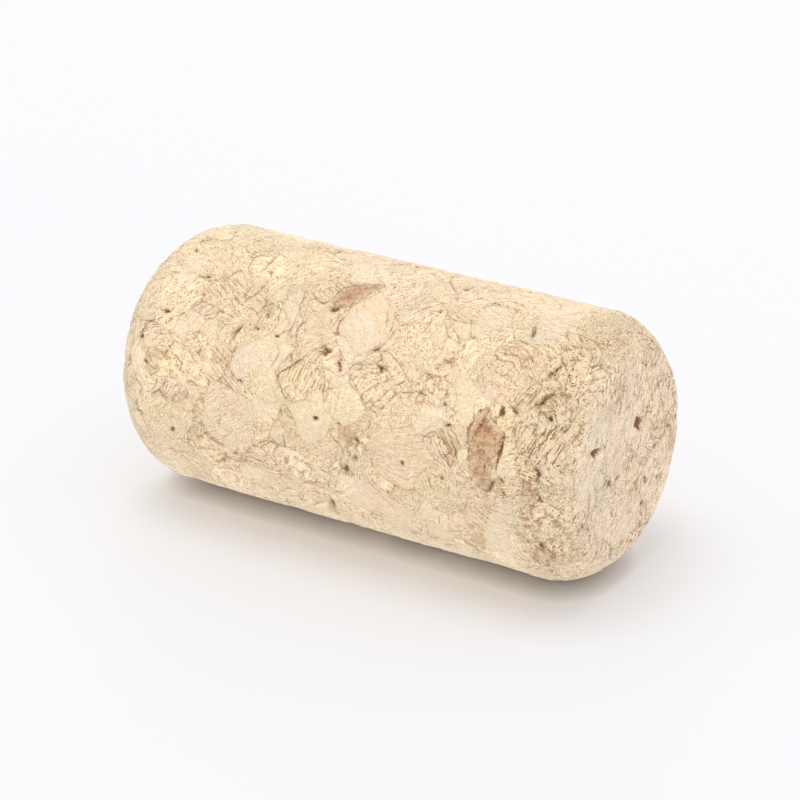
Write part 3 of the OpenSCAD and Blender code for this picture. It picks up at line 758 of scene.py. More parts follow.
    crack(0.12, (7.9, -3.2), (8.6, -2.8), (8.9, -2), (8.9, 0.1), (8.8, 2), sheet=Sheet.UPPER_END),
    crack(0.12, (-1.4, -6.9), (-0.6, -5.5), sheet=Sheet.UPPER_END),
)


@dataclass(frozen=True)
class GranuleField:
    """The pattern of bonded granules, as one network of nodes that is built twice.

    A geometry tree gives it to the skin's relief, and a shader tree gives it to the colour, so
    that grooves and their dark lines fall together. All sizes are millimetres. The shares are
    those of the granules that are crumbled, and of the seeds that may grow a pore.
    """

    fold_size: float = 7.0
    fold_reach: float = 4.0
    crumple_size: float = 1.3
    crumple_reach: float = 0.4
    granule: float = 4.6
    crumb: float = 2.3
    crumbled_share: float = 0.35
    line_length: float = 2.4
    line_warp: float = 1.1
    line_shift: float = 1.3
    line_spacing: float = 0.34
    line_spread: float = 0.5
    fibre_length: float = 0.65
    fibre_width: float = 0.15
    speckle_size: float = 0.15
    pore_spacing: float = 1.7
    pore_radius: float = 0.17
    pore_share: float = 0.1
    no_pore: float = -0.2
    gape_size: float = 3.4
    grit_size: float = 0.5
    lump_size: float = 4.5

    def layered(
        self,
        tree: bpy.types.NodeTree,
        spot: bpy.types.NodeSocket,
        across: bpy.types.NodeSocket,
        direction: bpy.types.NodeSocket,
        length: float,
        width: float,
        detail: float,
    ) -> bpy.types.NodeSocket:
        """Adds a noise that is drawn out along the growth layers.

        The spot is divided by the length. What it measures across the layers is then raised so
        that it is divided by the width instead: spot / length + direction * across * (1 / width
        - 1 / length).

        Args:
            tree: A shader or geometry tree.
            spot: The point that the noise is read at.
            across: How far the spot lies across the layers.
            direction: The unit vector across the layers.
            length: The noise's size along the layers.
            width: Its size across them.
            detail: Its number of octaves.

        Returns:
            The noise, from 0 to 1.
        """
        even = scaled(tree, spot, 1 / length)
        raised = scaled(tree, direction, math_node(tree, "MULTIPLY", across, 1 / width - 1 / length))
        place = vector_node(tree, "ADD", even, raised).outputs[0]
        return noise_node(tree, place, 1.0, detail).outputs["Fac"]

    def fold(self, tree: bpy.types.NodeTree, point: bpy.types.NodeSocket) -> bpy.types.NodeSocket:
        """Pushes the point about by a broad and a fine noise, which folds whatever is laid on it."""
        pushes = []
        for size, reach, detail in (
            (self.fold_size, self.fold_reach, 1.0),
            (self.crumple_size, self.crumple_reach, 2.0),
        ):
            noise = noise_node(tree, point, size, detail).outputs["Color"]
            middle = vector_node(tree, "SUBTRACT", noise, (0.5, 0.5, 0.5)).outputs[0]
            pushes.append(scaled(tree, middle, reach))
        push = vector_node(tree, "ADD", *pushes).outputs[0]
        return vector_node(tree, "ADD", point, push).outputs[0]

    def cells(
        self, tree: bpy.types.NodeTree, folded: bpy.types.NodeSocket
    ) -> tuple[bpy.types.NodeSocket, bpy.types.NodeSocket]:
        """Divides the cork into granules, and some of those into crumbs.

        Both are cells round scattered seeds, and the wall between two cells is a seam.

        Args:
            tree: A shader or geometry tree.
            folded: The folded point.

        Returns:
            Distance to the nearest seam, in millimetres, and the cell's random colour.
        """
        colours, walls = [], []
        for size in (self.granule, self.crumb):
            place = {"Vector": folded, "Scale": 1 / size}
            colours.append(add_node(tree, "ShaderNodeTexVoronoi", place).outputs["Color"])
            edge = add_node(tree, "ShaderNodeTexVoronoi", place, feature="DISTANCE_TO_EDGE")
            walls.append(math_node(tree, "MULTIPLY", edge.outputs["Distance"], size))
        lot = add_node(tree, "ShaderNodeSeparateXYZ", {0: colours[0]}).outputs[0]
        crumbled = math_node(tree, "LESS_THAN", lot, self.crumbled_share)
        nearer = math_node(tree, "MINIMUM", *walls)
        return mixed(tree, crumbled, walls[0], nearer), blended(tree, crumbled, *colours)

    def growth_lines(
        self,
        tree: bpy.types.NodeTree,
        layers: bpy.types.NodeSocket,
        across: bpy.types.NodeSocket,
        tone: bpy.types.NodeSocket,
    ) -> bpy.types.NodeSocket:
        """Rules growth lines across the layers, bent by a noise and closer in some granules.

        Args:
            tree: A shader or geometry tree.
            layers: The noise that bends the lines.
            across: How far the point lies across the layers.
            tone: The granule's random colour, whose last part sets its spacing.

        Returns:
            Distance to the nearest line, in millimetres.
        """
        bent = math_node(tree, "MULTIPLY_ADD", layers, self.line_shift, across)
        lot = add_node(tree, "ShaderNodeSeparateXYZ", {0: tone}).outputs[2]
        half = math_node(tree, "MULTIPLY_ADD", lot, self.line_spread / 2, self.line_spacing / 2)
        return math_node(tree, "PINGPONG", bent, half)

    def pores(self, tree: bpy.types.NodeTree, folded: bpy.types.NodeSocket) -> bpy.types.NodeSocket:
        """Scatters pores, and gives the distance to the rim of the nearest one."""
        seeds = add_node(tree, "ShaderNodeTexVoronoi", {"Vector": folded, "Scale": 1 / self.pore_spacing})
        lot = add_node(tree, "ShaderNodeSeparateXYZ", {0: seeds.outputs["Color"]}).outputs[0]
        # Over the share of seeds with the highest lots, sizes rise from no_pore to the full radius,
        # and a size below 0 leaves no pore
        size = add_node(
            tree,
            "ShaderNodeMapRange",
            {0: lot, 1: 1 - self.pore_share, 2: 1.0, 3: self.no_pore, 4: self.pore_radius},
        ).outputs[0]
        reach = math_node(tree, "MULTIPLY", seeds.outputs["Distance"], self.pore_spacing)
        return math_node(tree, "SUBTRACT", reach, size)

    def build(self, tree: bpy.types.NodeTree, point: bpy.types.NodeSocket) -> Sockets:
        """Adds the field's nodes to a tree.

        Each granule's random colour gives a direction across its growth layers, and noises
        drawn out along the layers give its growth lines and fibres.

        Args:
            tree: A shader or geometry tree.
            point: The point on the ground surface, in millimetres.

        Returns:
            seam: distance to the nearest seam, in millimetres.
            line: distance to the nearest growth line, in millimetres.
            fibre, speckle: noises about 0.5, the first drawn out and the second round.
            tone: the granule's random colour.
            pore: distance to the rim of the nearest pore, below 0 inside it.
            gape, grit, lump: noises about 0.5, for how far seams stand open, for fine
            roughness and for broad unevenness.
        """
        folded = self.fold(tree, point)
        seam, tone = self.cells(tree, folded)
        spread = vector_node(tree, "SUBTRACT", tone, (0.5, 0.5, 0.5)).outputs[0]
        direction = vector_node(tree, "NORMALIZE", spread).outputs[0]
        across = vector_node(tree, "DOT_PRODUCT", folded, direction).outputs["Value"]
        place = (tree, folded, across, direction)
        layers = self.layered(*place, self.line_length, self.line_warp, 2.0)
        fields = {
            "seam": seam,
            "line": self.growth_lines(tree, layers, across, tone),
            "fibre": self.layered(*place, self.fibre_length, self.fibre_width, 2.0),
            "tone": tone,
            "pore": self.pores(tree, folded),
        }
        for name, size, detail in (
            ("speckle", self.speckle_size, 2.0),
            ("gape", self.gape_size, 2.0),
            ("grit", self.grit_size, 3.0),
            ("lump", self.lump_size, 2.0),
        ):
            fields[name] = noise_node(tree, point, size, detail).outputs["Fac"]
        return fields


@dataclass
class Maps:
    """Where each point of the skin lies on the flat maps, and what is drawn there.

    The upper end's map takes the points whose normals have a Z over end_from, and the side's map
    takes those whose normals have a Z under side_until, up or down. Off a map, a point is put far
    away. Points are measured within patch_reach or crack_box of a mark's box, and a crack's width
    counts within crack_reach of its path.
    """

    points: np.ndarray
    normals: np.ndarray
    radius: float
    away: float = 9.0
    far: float = 1e3
    end_from: float = 0.75
    side_until: float = 0.9
    patch_reach: float = 1.5
    crack_box: float = 1.0
    crack_reach: float = 0.4

    def __post_init__(self) -> None:
        """Sorts the points: the upper end goes on its own map and everything else on the side's."""
        high = self.points[:, 2] > self.points[:, 2].max() / 2
        self.upper = (self.normals[:, 2] > self.end_from) & high
        self.angle = np.degrees(np.arctan2(self.points[:, 1], self.points[:, 0]))

    def flat(self, sheet: Sheet, angle: float) -> np.ndarray:
        """Gives the points on a map, in millimetres, with the side's angles counted from one angle."""
        if sheet is Sheet.UPPER_END:
            return np.where(self.upper[:, None], self.points[:, :2], self.far)
        turn = np.radians((self.angle - angle + 180) % 360 - 180) * self.radius
        side = np.stack([self.points[:, 2], turn], axis=1)
        return np.where(np.abs(self.normals[:, 2:]) > self.side_until, self.far, side)

    def path(self, corners: tuple, sheet: Sheet) -> tuple[np.ndarray, np.ndarray]:
        """Turns corners into millimetres on their map.

        Args:
            corners: The corners as they are drawn, with degrees on the side.
            sheet: The map.

        Returns:
            The corners, and the points on the same map.
        """
        ends = np.array(corners, float)
        middle = ends[:, 1].mean()
        if sheet is Sheet.SIDE:
            ends[:, 1] = np.radians(ends[:, 1] - middle) * self.radius
        return ends, self.flat(sheet, middle)

    def near(self, ends: np.ndarray, spots: np.ndarray, reach: float) -> np.ndarray:
        """Picks the points within reach of a path's box."""
        return np.all((spots > ends.min(0) - reach) & (spots < ends.max(0) + reach), axis=1)

    def to_path(self, ends: np.ndarray, spots: np.ndarray) -> tuple[np.ndarray, np.ndarray, np.ndarray]:
        """Measures from points to a path of straight steps.

        The nearest point of a step is start + t * step, where t is the dot product of step and
        offset over the step's length squared, kept from 0 to 1.

        Args:
            ends: The path's corners.
            spots: The points.

        Returns:
            Distance to the path, the same with the sign of the side it is on, and the share of
            the path's length at the nearest place.
        """
        step = np.diff(ends, axis=0)
        size = np.hypot(*step.T)
        before = np.concatenate([[0], np.cumsum(size)[:-1]])
        offset = spots[:, None] - ends[:-1]
        t = np.clip((offset * step).sum(2) / size**2, 0, 1)
        gap = np.linalg.norm(offset - t[..., None] * step, axis=2)
        pick = gap.argmin(1)
        rows = np.arange(len(spots))
        turn = step[pick, 0] * offset[rows, pick, 1] - step[pick, 1] * offset[rows, pick, 0]
        distance = gap[rows, pick]
        share = (before[pick] + t[rows, pick] * size[pick]) / size.sum()
        return distance, distance * np.where(turn < 0, -1, 1), share

    def patches(self, kind: Kind, wobble: np.ndarray) -> tuple[np.ndarray, np.ndarray]:
        """Measures every point against the patches of one kind.

        Args:
            kind: The kind.
            wobble: How far each point is moved on the map before it is measured.

        Returns:
            How deep each point is inside the nearest outline, below 0 outside, and its run
            across the layers of the patch that it is in.
        """
        depth = np.full(len(self.points), -self.away)
        run = np.zeros(len(self.points))
        for patch in PATCHES:
            if patch.kind is not kind:
                continue
            ends, spots = self.path(patch.outline, patch.sheet)
            picked = self.near(ends, spots, self.patch_reach)
            spots = spots[picked] + wobble[picked]
            closed = np.concatenate([ends, ends[:1]])
            gap = self.to_path(closed, spots)[0]
            low, high = closed[:-1], closed[1:]
            straddles = (low[:, 1] > spots[:, 1:]) != (high[:, 1] > spots[:, 1:])
            rise = np.where(low[:, 1] == high[:, 1], 1.0, high[:, 1] - low[:, 1])
            cut = low[:, 0] + (spots[:, 1:] - low[:, 1]) / rise * (high[:, 0] - low[:, 0])
            inside = (straddles & (spots[:, :1] < cut)).sum(1) % 2 == 1
            signed = np.where(inside, gap, -gap)
            lean = math.radians(patch.lay)
            layer = spots[:, 1] * math.cos(lean) - spots[:, 0] * math.sin(lean)
            better = signed > depth[picked]
            run[picked] = np.where(better, layer, run[picked])
            depth[picked] = np.where(better, signed, depth[picked])
        return depth, run

    def cracks(self, wobble: np.ndarray) -> tuple[np.ndarray, np.ndarray, np.ndarray]:
        """Measures every point against the cracks.

        Args:
            wobble: How far each point is moved on the map before it is measured.

        Returns:
            Distance to the nearest crack, the same with the sign of the side, and half the
            crack's width there, which is -1 where no crack is near.
        """
        distance = np.full(len(self.points), self.away)
        side = distance.copy()
        half = np.full(len(self.points), -1.0)
        for mark in CRACKS:
            ends, spots = self.path(mark.path, mark.sheet)
            picked = np.flatnonzero(self.near(ends, spots, self.crack_box))
            gap, signed, share = self.to_path(ends, spots[picked] + wobble[picked])
            better = gap < distance[picked]
            chosen = picked[better]
            distance[chosen] = gap[better]
            side[chosen] = signed[better]
            taper = 1 - np.abs(2 * share[better] - 1) ** 3
            half[chosen] = np.where(gap[better] < self.crack_reach, mark.width / 2 * taper, -1)
        return distance, side, half


@dataclass
class Skin:
    """The closed outer surface of the stopper, with the relief of its granules.

    Rows follow the outline and columns go round. Spacings, heights, depths and widths are
    millimetres. A pair named wall is where a bowl starts and where it is at its full depth, by
    the distance inside its outline, or outside it for a pore. The mouths are the shares of a
    void's length and width that look open, and end_mouth is the share of the width on the ends.
    Over sawn_from, by the normal's Z, the skin turns to end grain. Over torn_from, by the share of
    the length, it turns to torn cork. A shut seam has shut_seam of the depth, and a gaping one has
    that and gaping_seam.
    """

    section: Section
    grains: GranuleField
    columns: int = 340
    end_spacing: float = 0.26
    bevel_spacing: float = 0.19
    wall_spacing: float = 0.212
    seam_depth: float = 0.06
    seam_width: float = 0.18
    shut_seam: float = 0.4
    gaping_seam: float = 1.6
    gaping_from: tuple[float, float] = (0.5, 0.65)
    step_height: float = 0.09
    lump_height: float = 0.28
    grit_height: float = 0.12
    pit_depth: float = 0.42
    pit_wall: tuple[float, float] = (-0.12, 0.22)
    pore_depth: float = 0.2
    pore_wall: tuple[float, float] = (0.1, -0.12)
    crack_depth: float = 0.32
    crack_bell: float = 0.13
    bark_depth: float = 0.1
    bark_wall: tuple[float, float] = (-0.1, 0.15)
    mouth: tuple[float, float] = (0.85, 0.5)
    end_mouth: float = 0.8
    ragged_mouth: float = 0.3
    void_reach: float = 1.5
    wobble: float = 0.5
    margin: float = 0.04
    sawn_from: tuple[float, float] = (0.6, 0.95)
    torn_from: tuple[float, float] = (0.87, 0.95)

    def rows(self) -> np.ndarray:
        """Spaces the rows along the outline: even steps inside each zone, with both ends shared."""
        spacing = {
            Zone.LOWER_END: self.end_spacing,
            Zone.LOWER_BEVEL: self.bevel_spacing,
            Zone.WALL: self.wall_spacing,
            Zone.UPPER_BEVEL: self.bevel_spacing,
            Zone.UPPER_END: self.end_spacing,
        }
        runs = [np.zeros(1)]
        for zone, (start, stop) in self.section.stretch.items():
            count = max(1, round((stop - start) / spacing[zone]))
            runs.append(np.linspace(start, stop, count + 1)[1:])
        return np.concatenate(runs)

    def grid(self) -> tuple[np.ndarray, np.ndarray, int]:
        """Lays out the ground surface: the outline turned round the axis, with a point at each pole.

        Returns:
            Points, outward normals, and how many rings of points there are.
        """
        r, z, lean = self.section.at(self.rows()[1:-1])
        turn = np.linspace(0, 2 * np.pi, self.columns, endpoint=False)

        def rings(wide: np.ndarray, high: np.ndarray) -> np.ndarray:
            """Turns one pair of numbers a ring into three numbers a vertex."""
            round_axis = (np.cos(turn), np.sin(turn), np.ones_like(turn))
            parts = [np.outer(size, share) for size, share in zip((wide, wide, high), round_axis)]
            return np.stack(parts, axis=2).reshape(-1, 3)

        points = [[[0, 0, 0]], rings(r, z), [[0, 0, self.section.length]]]
        normals = [[[0, 0, -1]], rings(np.cos(lean), np.sin(lean)), [[0, 0, 1]]]
        return np.concatenate(points), np.concatenate(normals), len(r)

    def faces(self, ring_count: int) -> list:
        """Joins neighbours on the grid: quads between rings and a fan of triangles at each pole.

        Args:
            ring_count: How many rings of points there are.

        Returns:
            Corner indices of each face, turned so that it looks outwards.
        """
        column = np.arange(self.columns)
        after = (column + 1) % self.columns
        start = 1 + self.columns * np.arange(ring_count - 1)[:, None]
        above = start + self.columns
        quads = np.stack([start + column, start + after, above + after, above + column], axis=2)
        first, last = 1, 1 + self.columns * (ring_count - 1)
        top = last + self.columns
        lower = np.stack([np.zeros_like(column), first + after, first + column], axis=1)
        upper = np.stack([np.full_like(column, top), last + column, last + after], axis=1)
        return lower.tolist() + quads.reshape(-1, 4).tolist() + upper.tolist()

    def sample(self, piece: bpy.types.Object) -> dict[str, np.ndarray]:
        """Reads the granule field at every vertex, through a geometry tree that stores it.

        Args:
            piece: The skin before its relief, in metres.

        Returns:
            One array for each output of the field: a number or three a vertex.
        """
        tree = bpy.data.node_groups.new("granule_field", "GeometryNodeTree")
        for way in ("INPUT", "OUTPUT"):
            tree.interface.new_socket("Geometry", in_out=way, socket_type="NodeSocketGeometry")
        position = add_node(tree, "GeometryNodeInputPosition")
        stored = self.grains.build(tree, scaled(tree, position.outputs[0], 1 / METRE))
        geometry = add_node(tree, "NodeGroupInput").outputs[0]
        for name, socket in stored.items():
            kind = "FLOAT_VECTOR" if name == "tone" else "FLOAT"
            geometry = add_node(
                tree,
                "GeometryNodeStoreNamedAttribute",
                {"Geometry": geometry, "Name": name, "Value": socket},
                data_type=kind,
            ).outputs[0]
        add_node(tree, "NodeGroupOutput", {0: geometry})
        modifier = piece.modifiers.new("granule_field", "NODES")
        modifier.node_group = tree
        evaluated = piece.evaluated_get(bpy.context.evaluated_depsgraph_get())
        mesh = evaluated.to_mesh()
        values = {}
        for name in stored:
            wide = 3 if name == "tone" else 1
            array = np.empty(len(mesh.vertices) * wide, np.float32)
            mesh.attributes[name].data.foreach_get("vector" if wide == 3 else "value", array)
            values[name] = array.reshape(-1, wide) if wide == 3 else array
        evaluated.to_mesh_clear()
        piece.modifiers.remove(modifier)
        bpy.data.node_groups.remove(tree)
        return values

    def features(
        self, points: np.ndarray, normals: np.ndarray, values: dict[str, np.ndarray]
    ) -> dict[str, np.ndarray]:
        """Measures every vertex against the patches, cracks and voids.

        Args:
            points: The ground surface, in millimetres.
            normals: Its outward normals.
            values: The granule field there.

        Returns:
            The attributes that the material reads, one number a vertex.
        """
        maps = Maps(points, normals, self.section.radius)
        wobble = self.wobble * (np.stack([values["grit"], values["lump"]], axis=1) - 0.5)
        found = {}
        for kind in Kind:
            found[kind.value], run = maps.patches(kind, wobble)
            if kind is Kind.BAND:
                # Away from the bands the layers are level
                found["layer"] = np.where(run == 0, points[:, 2], run)
        found["crack_gap"], found["crack_side"], found["crack_half"] = maps.cracks(wobble)
        pit = found[Kind.PIT.value]
        for mark in VOIDS:
            along, across, out = mark.local(points, self.section)
            on_end = mark.zone in (Zone.LOWER_END, Zone.UPPER_END)
            length = mark.length * self.mouth[0]
            width = mark.width * (self.end_mouth if on_end else self.mouth[1])
            size = np.sqrt((2 * along / length) ** 2 + (2 * across / width) ** 2)
            depth = (1 - size) * width / 2 + self.ragged_mouth * (values["grit"] - 0.5)
            pit = np.maximum(pit, np.where(np.abs(out) < self.void_reach, depth, -maps.away))
        found[Kind.PIT.value] = pit
        found["end_grain"] = smoothstep(*self.sawn_from, np.abs(normals[:, 2]))
        found["torn"] = smoothstep(*self.torn_from, points[:, 2] / self.section.length)
        return found

    def relief(self, values: dict[str, np.ndarray], found: dict[str, np.ndarray]) -> np.ndarray:
        """Works out how far each vertex stands off the ground surface.

        Granules stand a little high or low, seams are grooves with the section of a bell curve,
        and pits, pores and cracks are bowls and grooves. Nothing stands above the ground surface.

        Args:
            values: The granule field.
            found: The features.

        Returns:
            Height along the normal, in millimetres.
        """
        seam = np.exp(-((values["seam"] / self.seam_width) ** 2))
        gape = smoothstep(*self.gaping_from, values["gape"])
        near_crack = found["crack_half"] * np.exp(-((found["crack_gap"] / self.crack_bell) ** 2))
        height = (
            self.lump_height * (values["lump"] - 0.5)
            + self.grit_height * (1 + found["torn"]) * (values["grit"] - 0.5)
            + self.step_height * (values["tone"][:, 2] - 0.5)
            - self.seam_depth * seam * (self.shut_seam + self.gaping_seam * gape)
            - self.pit_depth * smoothstep(*self.pit_wall, found[Kind.PIT.value])
            - self.pore_depth * smoothstep(*self.pore_wall, values["pore"])
            - self.crack_depth * np.maximum(near_crack, 0)
            - self.bark_depth * smoothstep(*self.bark_wall, found[Kind.BARK.value])
            - self.margin
        )
        return np.minimum(height, 0.0)

    def make(self) -> bpy.types.Object:
        """Builds the skin.

        Returns:
            The object, in metres, with the ground point and the features as attributes.
        """
        points, normals, ring_count = self.grid()
        mesh = bpy.data.meshes.new("cork_skin")
        mesh.from_pydata(points * METRE, [], self.faces(ring_count))
        piece = bpy.data.objects.new("cork_skin", mesh)
        bpy.context.scene.collection.objects.link(piece)
        values = self.sample(piece)
        found = self.features(points, normals, values)
        height = self.relief(values, found)
        ground = mesh.attributes.new("ground_point", "FLOAT_VECTOR", "POINT")
        ground.data.foreach_set("vector", points.astype(np.float32).ravel())
        for name, value in found.items():
            mesh.attributes.new(name, "FLOAT", "POINT").data.foreach_set("value", value.astype(np.float32))
        moved = (points + normals * height[:, None]) * METRE
        mesh.vertices.foreach_set("co", moved.astype(np.float32).ravel())
        mesh.polygons.foreach_set("use_smooth", np.ones(len(mesh.polygons), bool))
        mesh.update()
        LOG.info("cork_skin: %d vertices, %d faces", len(mesh.vertices), len(mesh.polygons))
        return piece


@dataclass
class Painter:
    """Lays one colour over another in a shader tree, with masks made from distances."""

    tree: bpy.types.NodeTree
    colour: bpy.types.NodeSocket | tuple = (1, 1, 1, 1)

    def read(self, name: str, output: str = "Fac") -> bpy.types.NodeSocket:
        """Reads one of the skin's attributes, as a number or as its vector."""
        return add_node(self.tree, "ShaderNodeAttribute", attribute_name=name).outputs[output]

    def direction(self, *parts: float) -> bpy.types.NodeSocket:
        """Gives a fixed direction as a vector."""
        return add_node(self.tree, "ShaderNodeCombineXYZ", dict(enumerate(parts))).outputs[0]

    def ramp(
        self, value: bpy.types.NodeSocket, low: float, high: float, start: float = 0.0, stop: float = 1.0
    ) -> bpy.types.NodeSocket:
        """Maps low..high to start..stop in a smooth step, kept inside."""
        return add_node(
            self.tree,
            "ShaderNodeMapRange",
            {0: value, 1: low, 2: high, 3: start, 4: stop},
            interpolation_type="SMOOTHSTEP",
        ).outputs[0]

    def times(self, first: object, *others: object) -> bpy.types.NodeSocket:
        """Multiplies masks, so that the result is strong where all of them are."""
        for other in others:
            first = math_node(self.tree, "MULTIPLY", first, other)
        return first

    def most(self, first: object, second: object) -> bpy.types.NodeSocket:
        """Gives the stronger of two masks at each point."""
        return math_node(self.tree, "MAXIMUM", first, second)

    def less(self, first: object, second: object) -> bpy.types.NodeSocket:
        """Takes the second value from the first."""
        return math_node(self.tree, "SUBTRACT", first, second)

    def raised(self, value: object, factor: float, base: object) -> bpy.types.NodeSocket:
        """Adds a multiple of a value to a base: value * factor + base."""
        return math_node(self.tree, "MULTIPLY_ADD", value, factor, base)

    def either(self, share: object, low: object, high: object) -> bpy.types.NodeSocket:
        """Blends two values: low where the share is 0, and high where it is 1."""
        return mixed(self.tree, share, low, high)

    def lay(self, mask: object, hex_colour: str) -> None:
        """Lays a colour over what is there, as far as the mask says."""
        self.colour = blended(self.tree, mask, self.colour, linear(hex_colour))


@dataclass(frozen=True)
class AgglomeratedCork:
    """Agglomerated cork, ground: a matt, warm cream body with thin tan lines, brown hollows partly darkened
    as painted shade, and painted highlight and shade on its fine relief.

    A grain is a noise drawn out along its layers: its length along them and its width across
    them, in millimetres, and its octaves. A band has a line every band_spacing millimetres.
    Threads show where the grain is within thread_reach of its middle value.
    """

    # Granules: warm cream, drawn by chance towards straw, pink or a paler cream
    cream: str = "#fbe5bf"
    straw: str = "#fadeae"
    blush: str = "#fad9b6"
    pale: str = "#fceacf"
    # Stretches: calm chalky granules, tan weathered ones and painted tan shade in a few hollows, tan bands,
    # and less yellow sawn ends
    chalk: str = "#f7e3c6"
    weathered_and_shaded_tan: str = "#dbbc90"
    band: str = "#ecca9f"
    end: str = "#fae2cb"
    # Fine grain: painted highlight on the bump's ridges, painted tan shade in its hollows and beside seams
    # and cracks, and pink-brown crumbs
    painted_ridge_highlight: str = "#feedca"
    painted_hollow_shade: str = "#b38d63"
    crumb: str = "#ba8a63"
    # Lines and holes: brown growth lines and seams, and darker cracks, pits and pores, partly their own brown
    # and partly painted shade in the recess
    line: str = "#a27c52"
    crack: str = "#8a6138"
    pit: str = "#845a34"
    # Flakes of bark: tan, with a redder heart, dark mottles and a dark rim
    bark: str = "#e6c9a3"
    bark_red: str = "#d09b72"
    bark_dark: str = "#7d5638"
    torn_grain: tuple[float, float, float] = (1.2, 0.14, 1.0)
    sawn_grain: tuple[float, float, float] = (1.0, 0.15, 1.0)
    sawn_ridges: tuple[float, float, float] = (3.2, 0.5, 1.0)
    sawn_across: tuple[float, float, float] = (0.86, -0.51, 0.0)
    band_spacing: float = 0.34
    thread_reach: float = 0.035
    # A matt face, with a faint fuzz where it is seen at a slant
    roughness: float = 0.7
    specular: float = 0.4
    fuzz: float = 0.2
    fuzz_roughness: float = 0.3

    def body(self, paint: Painter, cork: Sockets) -> None:
        """Gives each granule its own tone, and each kind of stretch its own cast.

        To the eye this is the mosaic of granules: close tones of cream by chance, less yellow
        sawn ends, tan bands, weathered granules and a few tan patches of painted shade, and calm chalky ones.

        Args:
            paint: The painter.
            cork: The granule field and the skin's features.
        """
        paint.lay(paint.ramp(cork["red"], 0.3, 0.9, 0.0, 0.3), self.straw)
        paint.lay(paint.ramp(cork["green"], 0.4, 0.9, 0.0, 0.5), self.blush)
        paint.lay(paint.ramp(cork["blue"], 0.6, 0.95, 0.0, 0.3), self.pale)
        paint.lay(paint.times(cork["end"], 0.6), self.end)
        paint.lay(paint.times(cork["banded"], 0.3), self.band)
        # Tan patches: weathered granules, and a few that are painted shade in hollows
        paint.lay(paint.ramp(cork[Kind.TAN.value], -0.06, 0.06, 0.0, 0.85), self.weathered_and_shaded_tan)
        paint.lay(paint.times(cork["calm"], 0.7), self.chalk)

    def loudness(self, paint: Painter, cork: Sockets) -> bpy.types.NodeSocket:
        """Says how strongly the fine grain shows at each point, from 0 to 1.

        Chalky granules are half as loud. Some granules are plain by chance, but none are in bands
        or torn cork, and only weakly so on the upper end. Parts of both ends are still.

        Args:
            paint: The painter.
            cork: The granule field and the skin's features.

        Returns:
            The mask.
        """
        loud = paint.raised(cork["calm"], -0.5, 1.0)
        busy = paint.most(cork["banded"], paint.raised(cork["end"], -0.7, cork["torn"]))
        plain = paint.times(paint.ramp(cork["red"], 0.62, 0.3, 0.0, 0.6), paint.less(1.0, busy))
        still = paint.times(paint.ramp(cork["gape"], 0.52, 0.44, 0.0, 0.5), cork["end"])
        return paint.times(loud, paint.less(1.0, plain), paint.less(1.0, still))

    def grain(self, paint: Painter, cork: Sockets, grains: GranuleField) -> None:
        """Works out the fine grain, and adds it to the field.

        Granules are more or less fibrous by chance. In bands the grain runs along the band's
        layers, and on the ends along the saw's stroke, over broad low ridges.

        Args:
            paint: The painter.
            cork: The granule field and the skin's features, which get streak, grain, contour
                and ridges.
            grains: The field's sizes.
        """
        tree, point, end = paint.tree, cork["point"], cork["end"]
        upright = paint.direction(0.0, 0.0, 1.0)
        torn_rows = grains.layered(tree, point, cork["layer"], upright, *self.torn_grain)
        aim = paint.direction(*self.sawn_across)
        run = vector_node(tree, "DOT_PRODUCT", point, aim).outputs["Value"]
        sawn_rows = grains.layered(tree, point, run, aim, *self.sawn_grain)
        cork["ridges"] = paint.times(grains.layered(tree, point, run, aim, *self.sawn_ridges), end)
        streak = paint.either(end, torn_rows, sawn_rows)
        fibrous = paint.ramp(cork["blue"], 0.1, 0.5, 0.5, 1.0)
        woven = paint.either(fibrous, cork["speckle"], cork["fibre"])
        cork["contour"] = math_node(tree, "ABSOLUTE", paint.less(woven, 0.5))
        cork["rowed"] = paint.most(cork["banded"], end)
        rows = paint.either(cork["rowed"], woven, streak)
        share = paint.raised(cork["torn_or_end"], -0.15, paint.raised(end, 0.35, 0.7))
        cork["grain"] = math_node(tree, "MULTIPLY_ADD", paint.less(cork["speckle"], 0.5), share, rows)

    def weave(self, paint: Painter, cork: Sockets) -> None:
        """Draws the fine grain: a painted highlight where its bump is high, painted tan shade in its hollows,
        threads, and brown crumbs.

        Threads are broken lines where the grain passes its middle value. They lie in the grooves of the bump,
        so they are partly painted shade.
        Torn cork and the ends get darker dots in the bump's low places, also painted shade, the dips between
        sawn ridges a faint painted shadow, and blushed stretches crumbs.

        Args:
            paint: The painter.
            cork: The granule field and the skin's features.
        """
        grain, loud = cork["grain"], cork["loud"]
        threads = paint.ramp(cork["contour"], 0.0, self.thread_reach, 0.75, 0.0)
        threads = paint.times(threads, cork["broken"], paint.raised(cork["rowed"], -0.7, 1.0))
        groove_and_hollow_shade = paint.most(threads, paint.ramp(grain, 0.42, 0.35, 0.0, 0.85))
        # Painted highlight where the grain's bump is high
        paint.lay(paint.times(paint.ramp(grain, 0.5, 0.62, 0.0, 0.5), loud), self.painted_ridge_highlight)
        # Painted shade in the bump's grooves and hollows
        paint.lay(paint.times(groove_and_hollow_shade, loud), self.painted_hollow_shade)
        # Darker dots in the bump's low places on torn cork and the ends, painted shade too
        dots = paint.ramp(grain, 0.43, 0.36, 0.0, 1.0)
        paint.lay(paint.times(dots, cork["torn_or_end"], loud), self.line)
        # Painted shadow in the dips between the sawn ridges
        dips = paint.ramp(cork["ridges"], 0.45, 0.33, 0.0, 0.2)
        paint.lay(paint.times(dips, cork["end"]), self.painted_hollow_shade)
        crumbs = paint.ramp(cork["crumbled"], 0.8, 0.9, 0.0, 0.8)
        paint.lay(paint.times(crumbs, cork["busy"]), self.crumb)

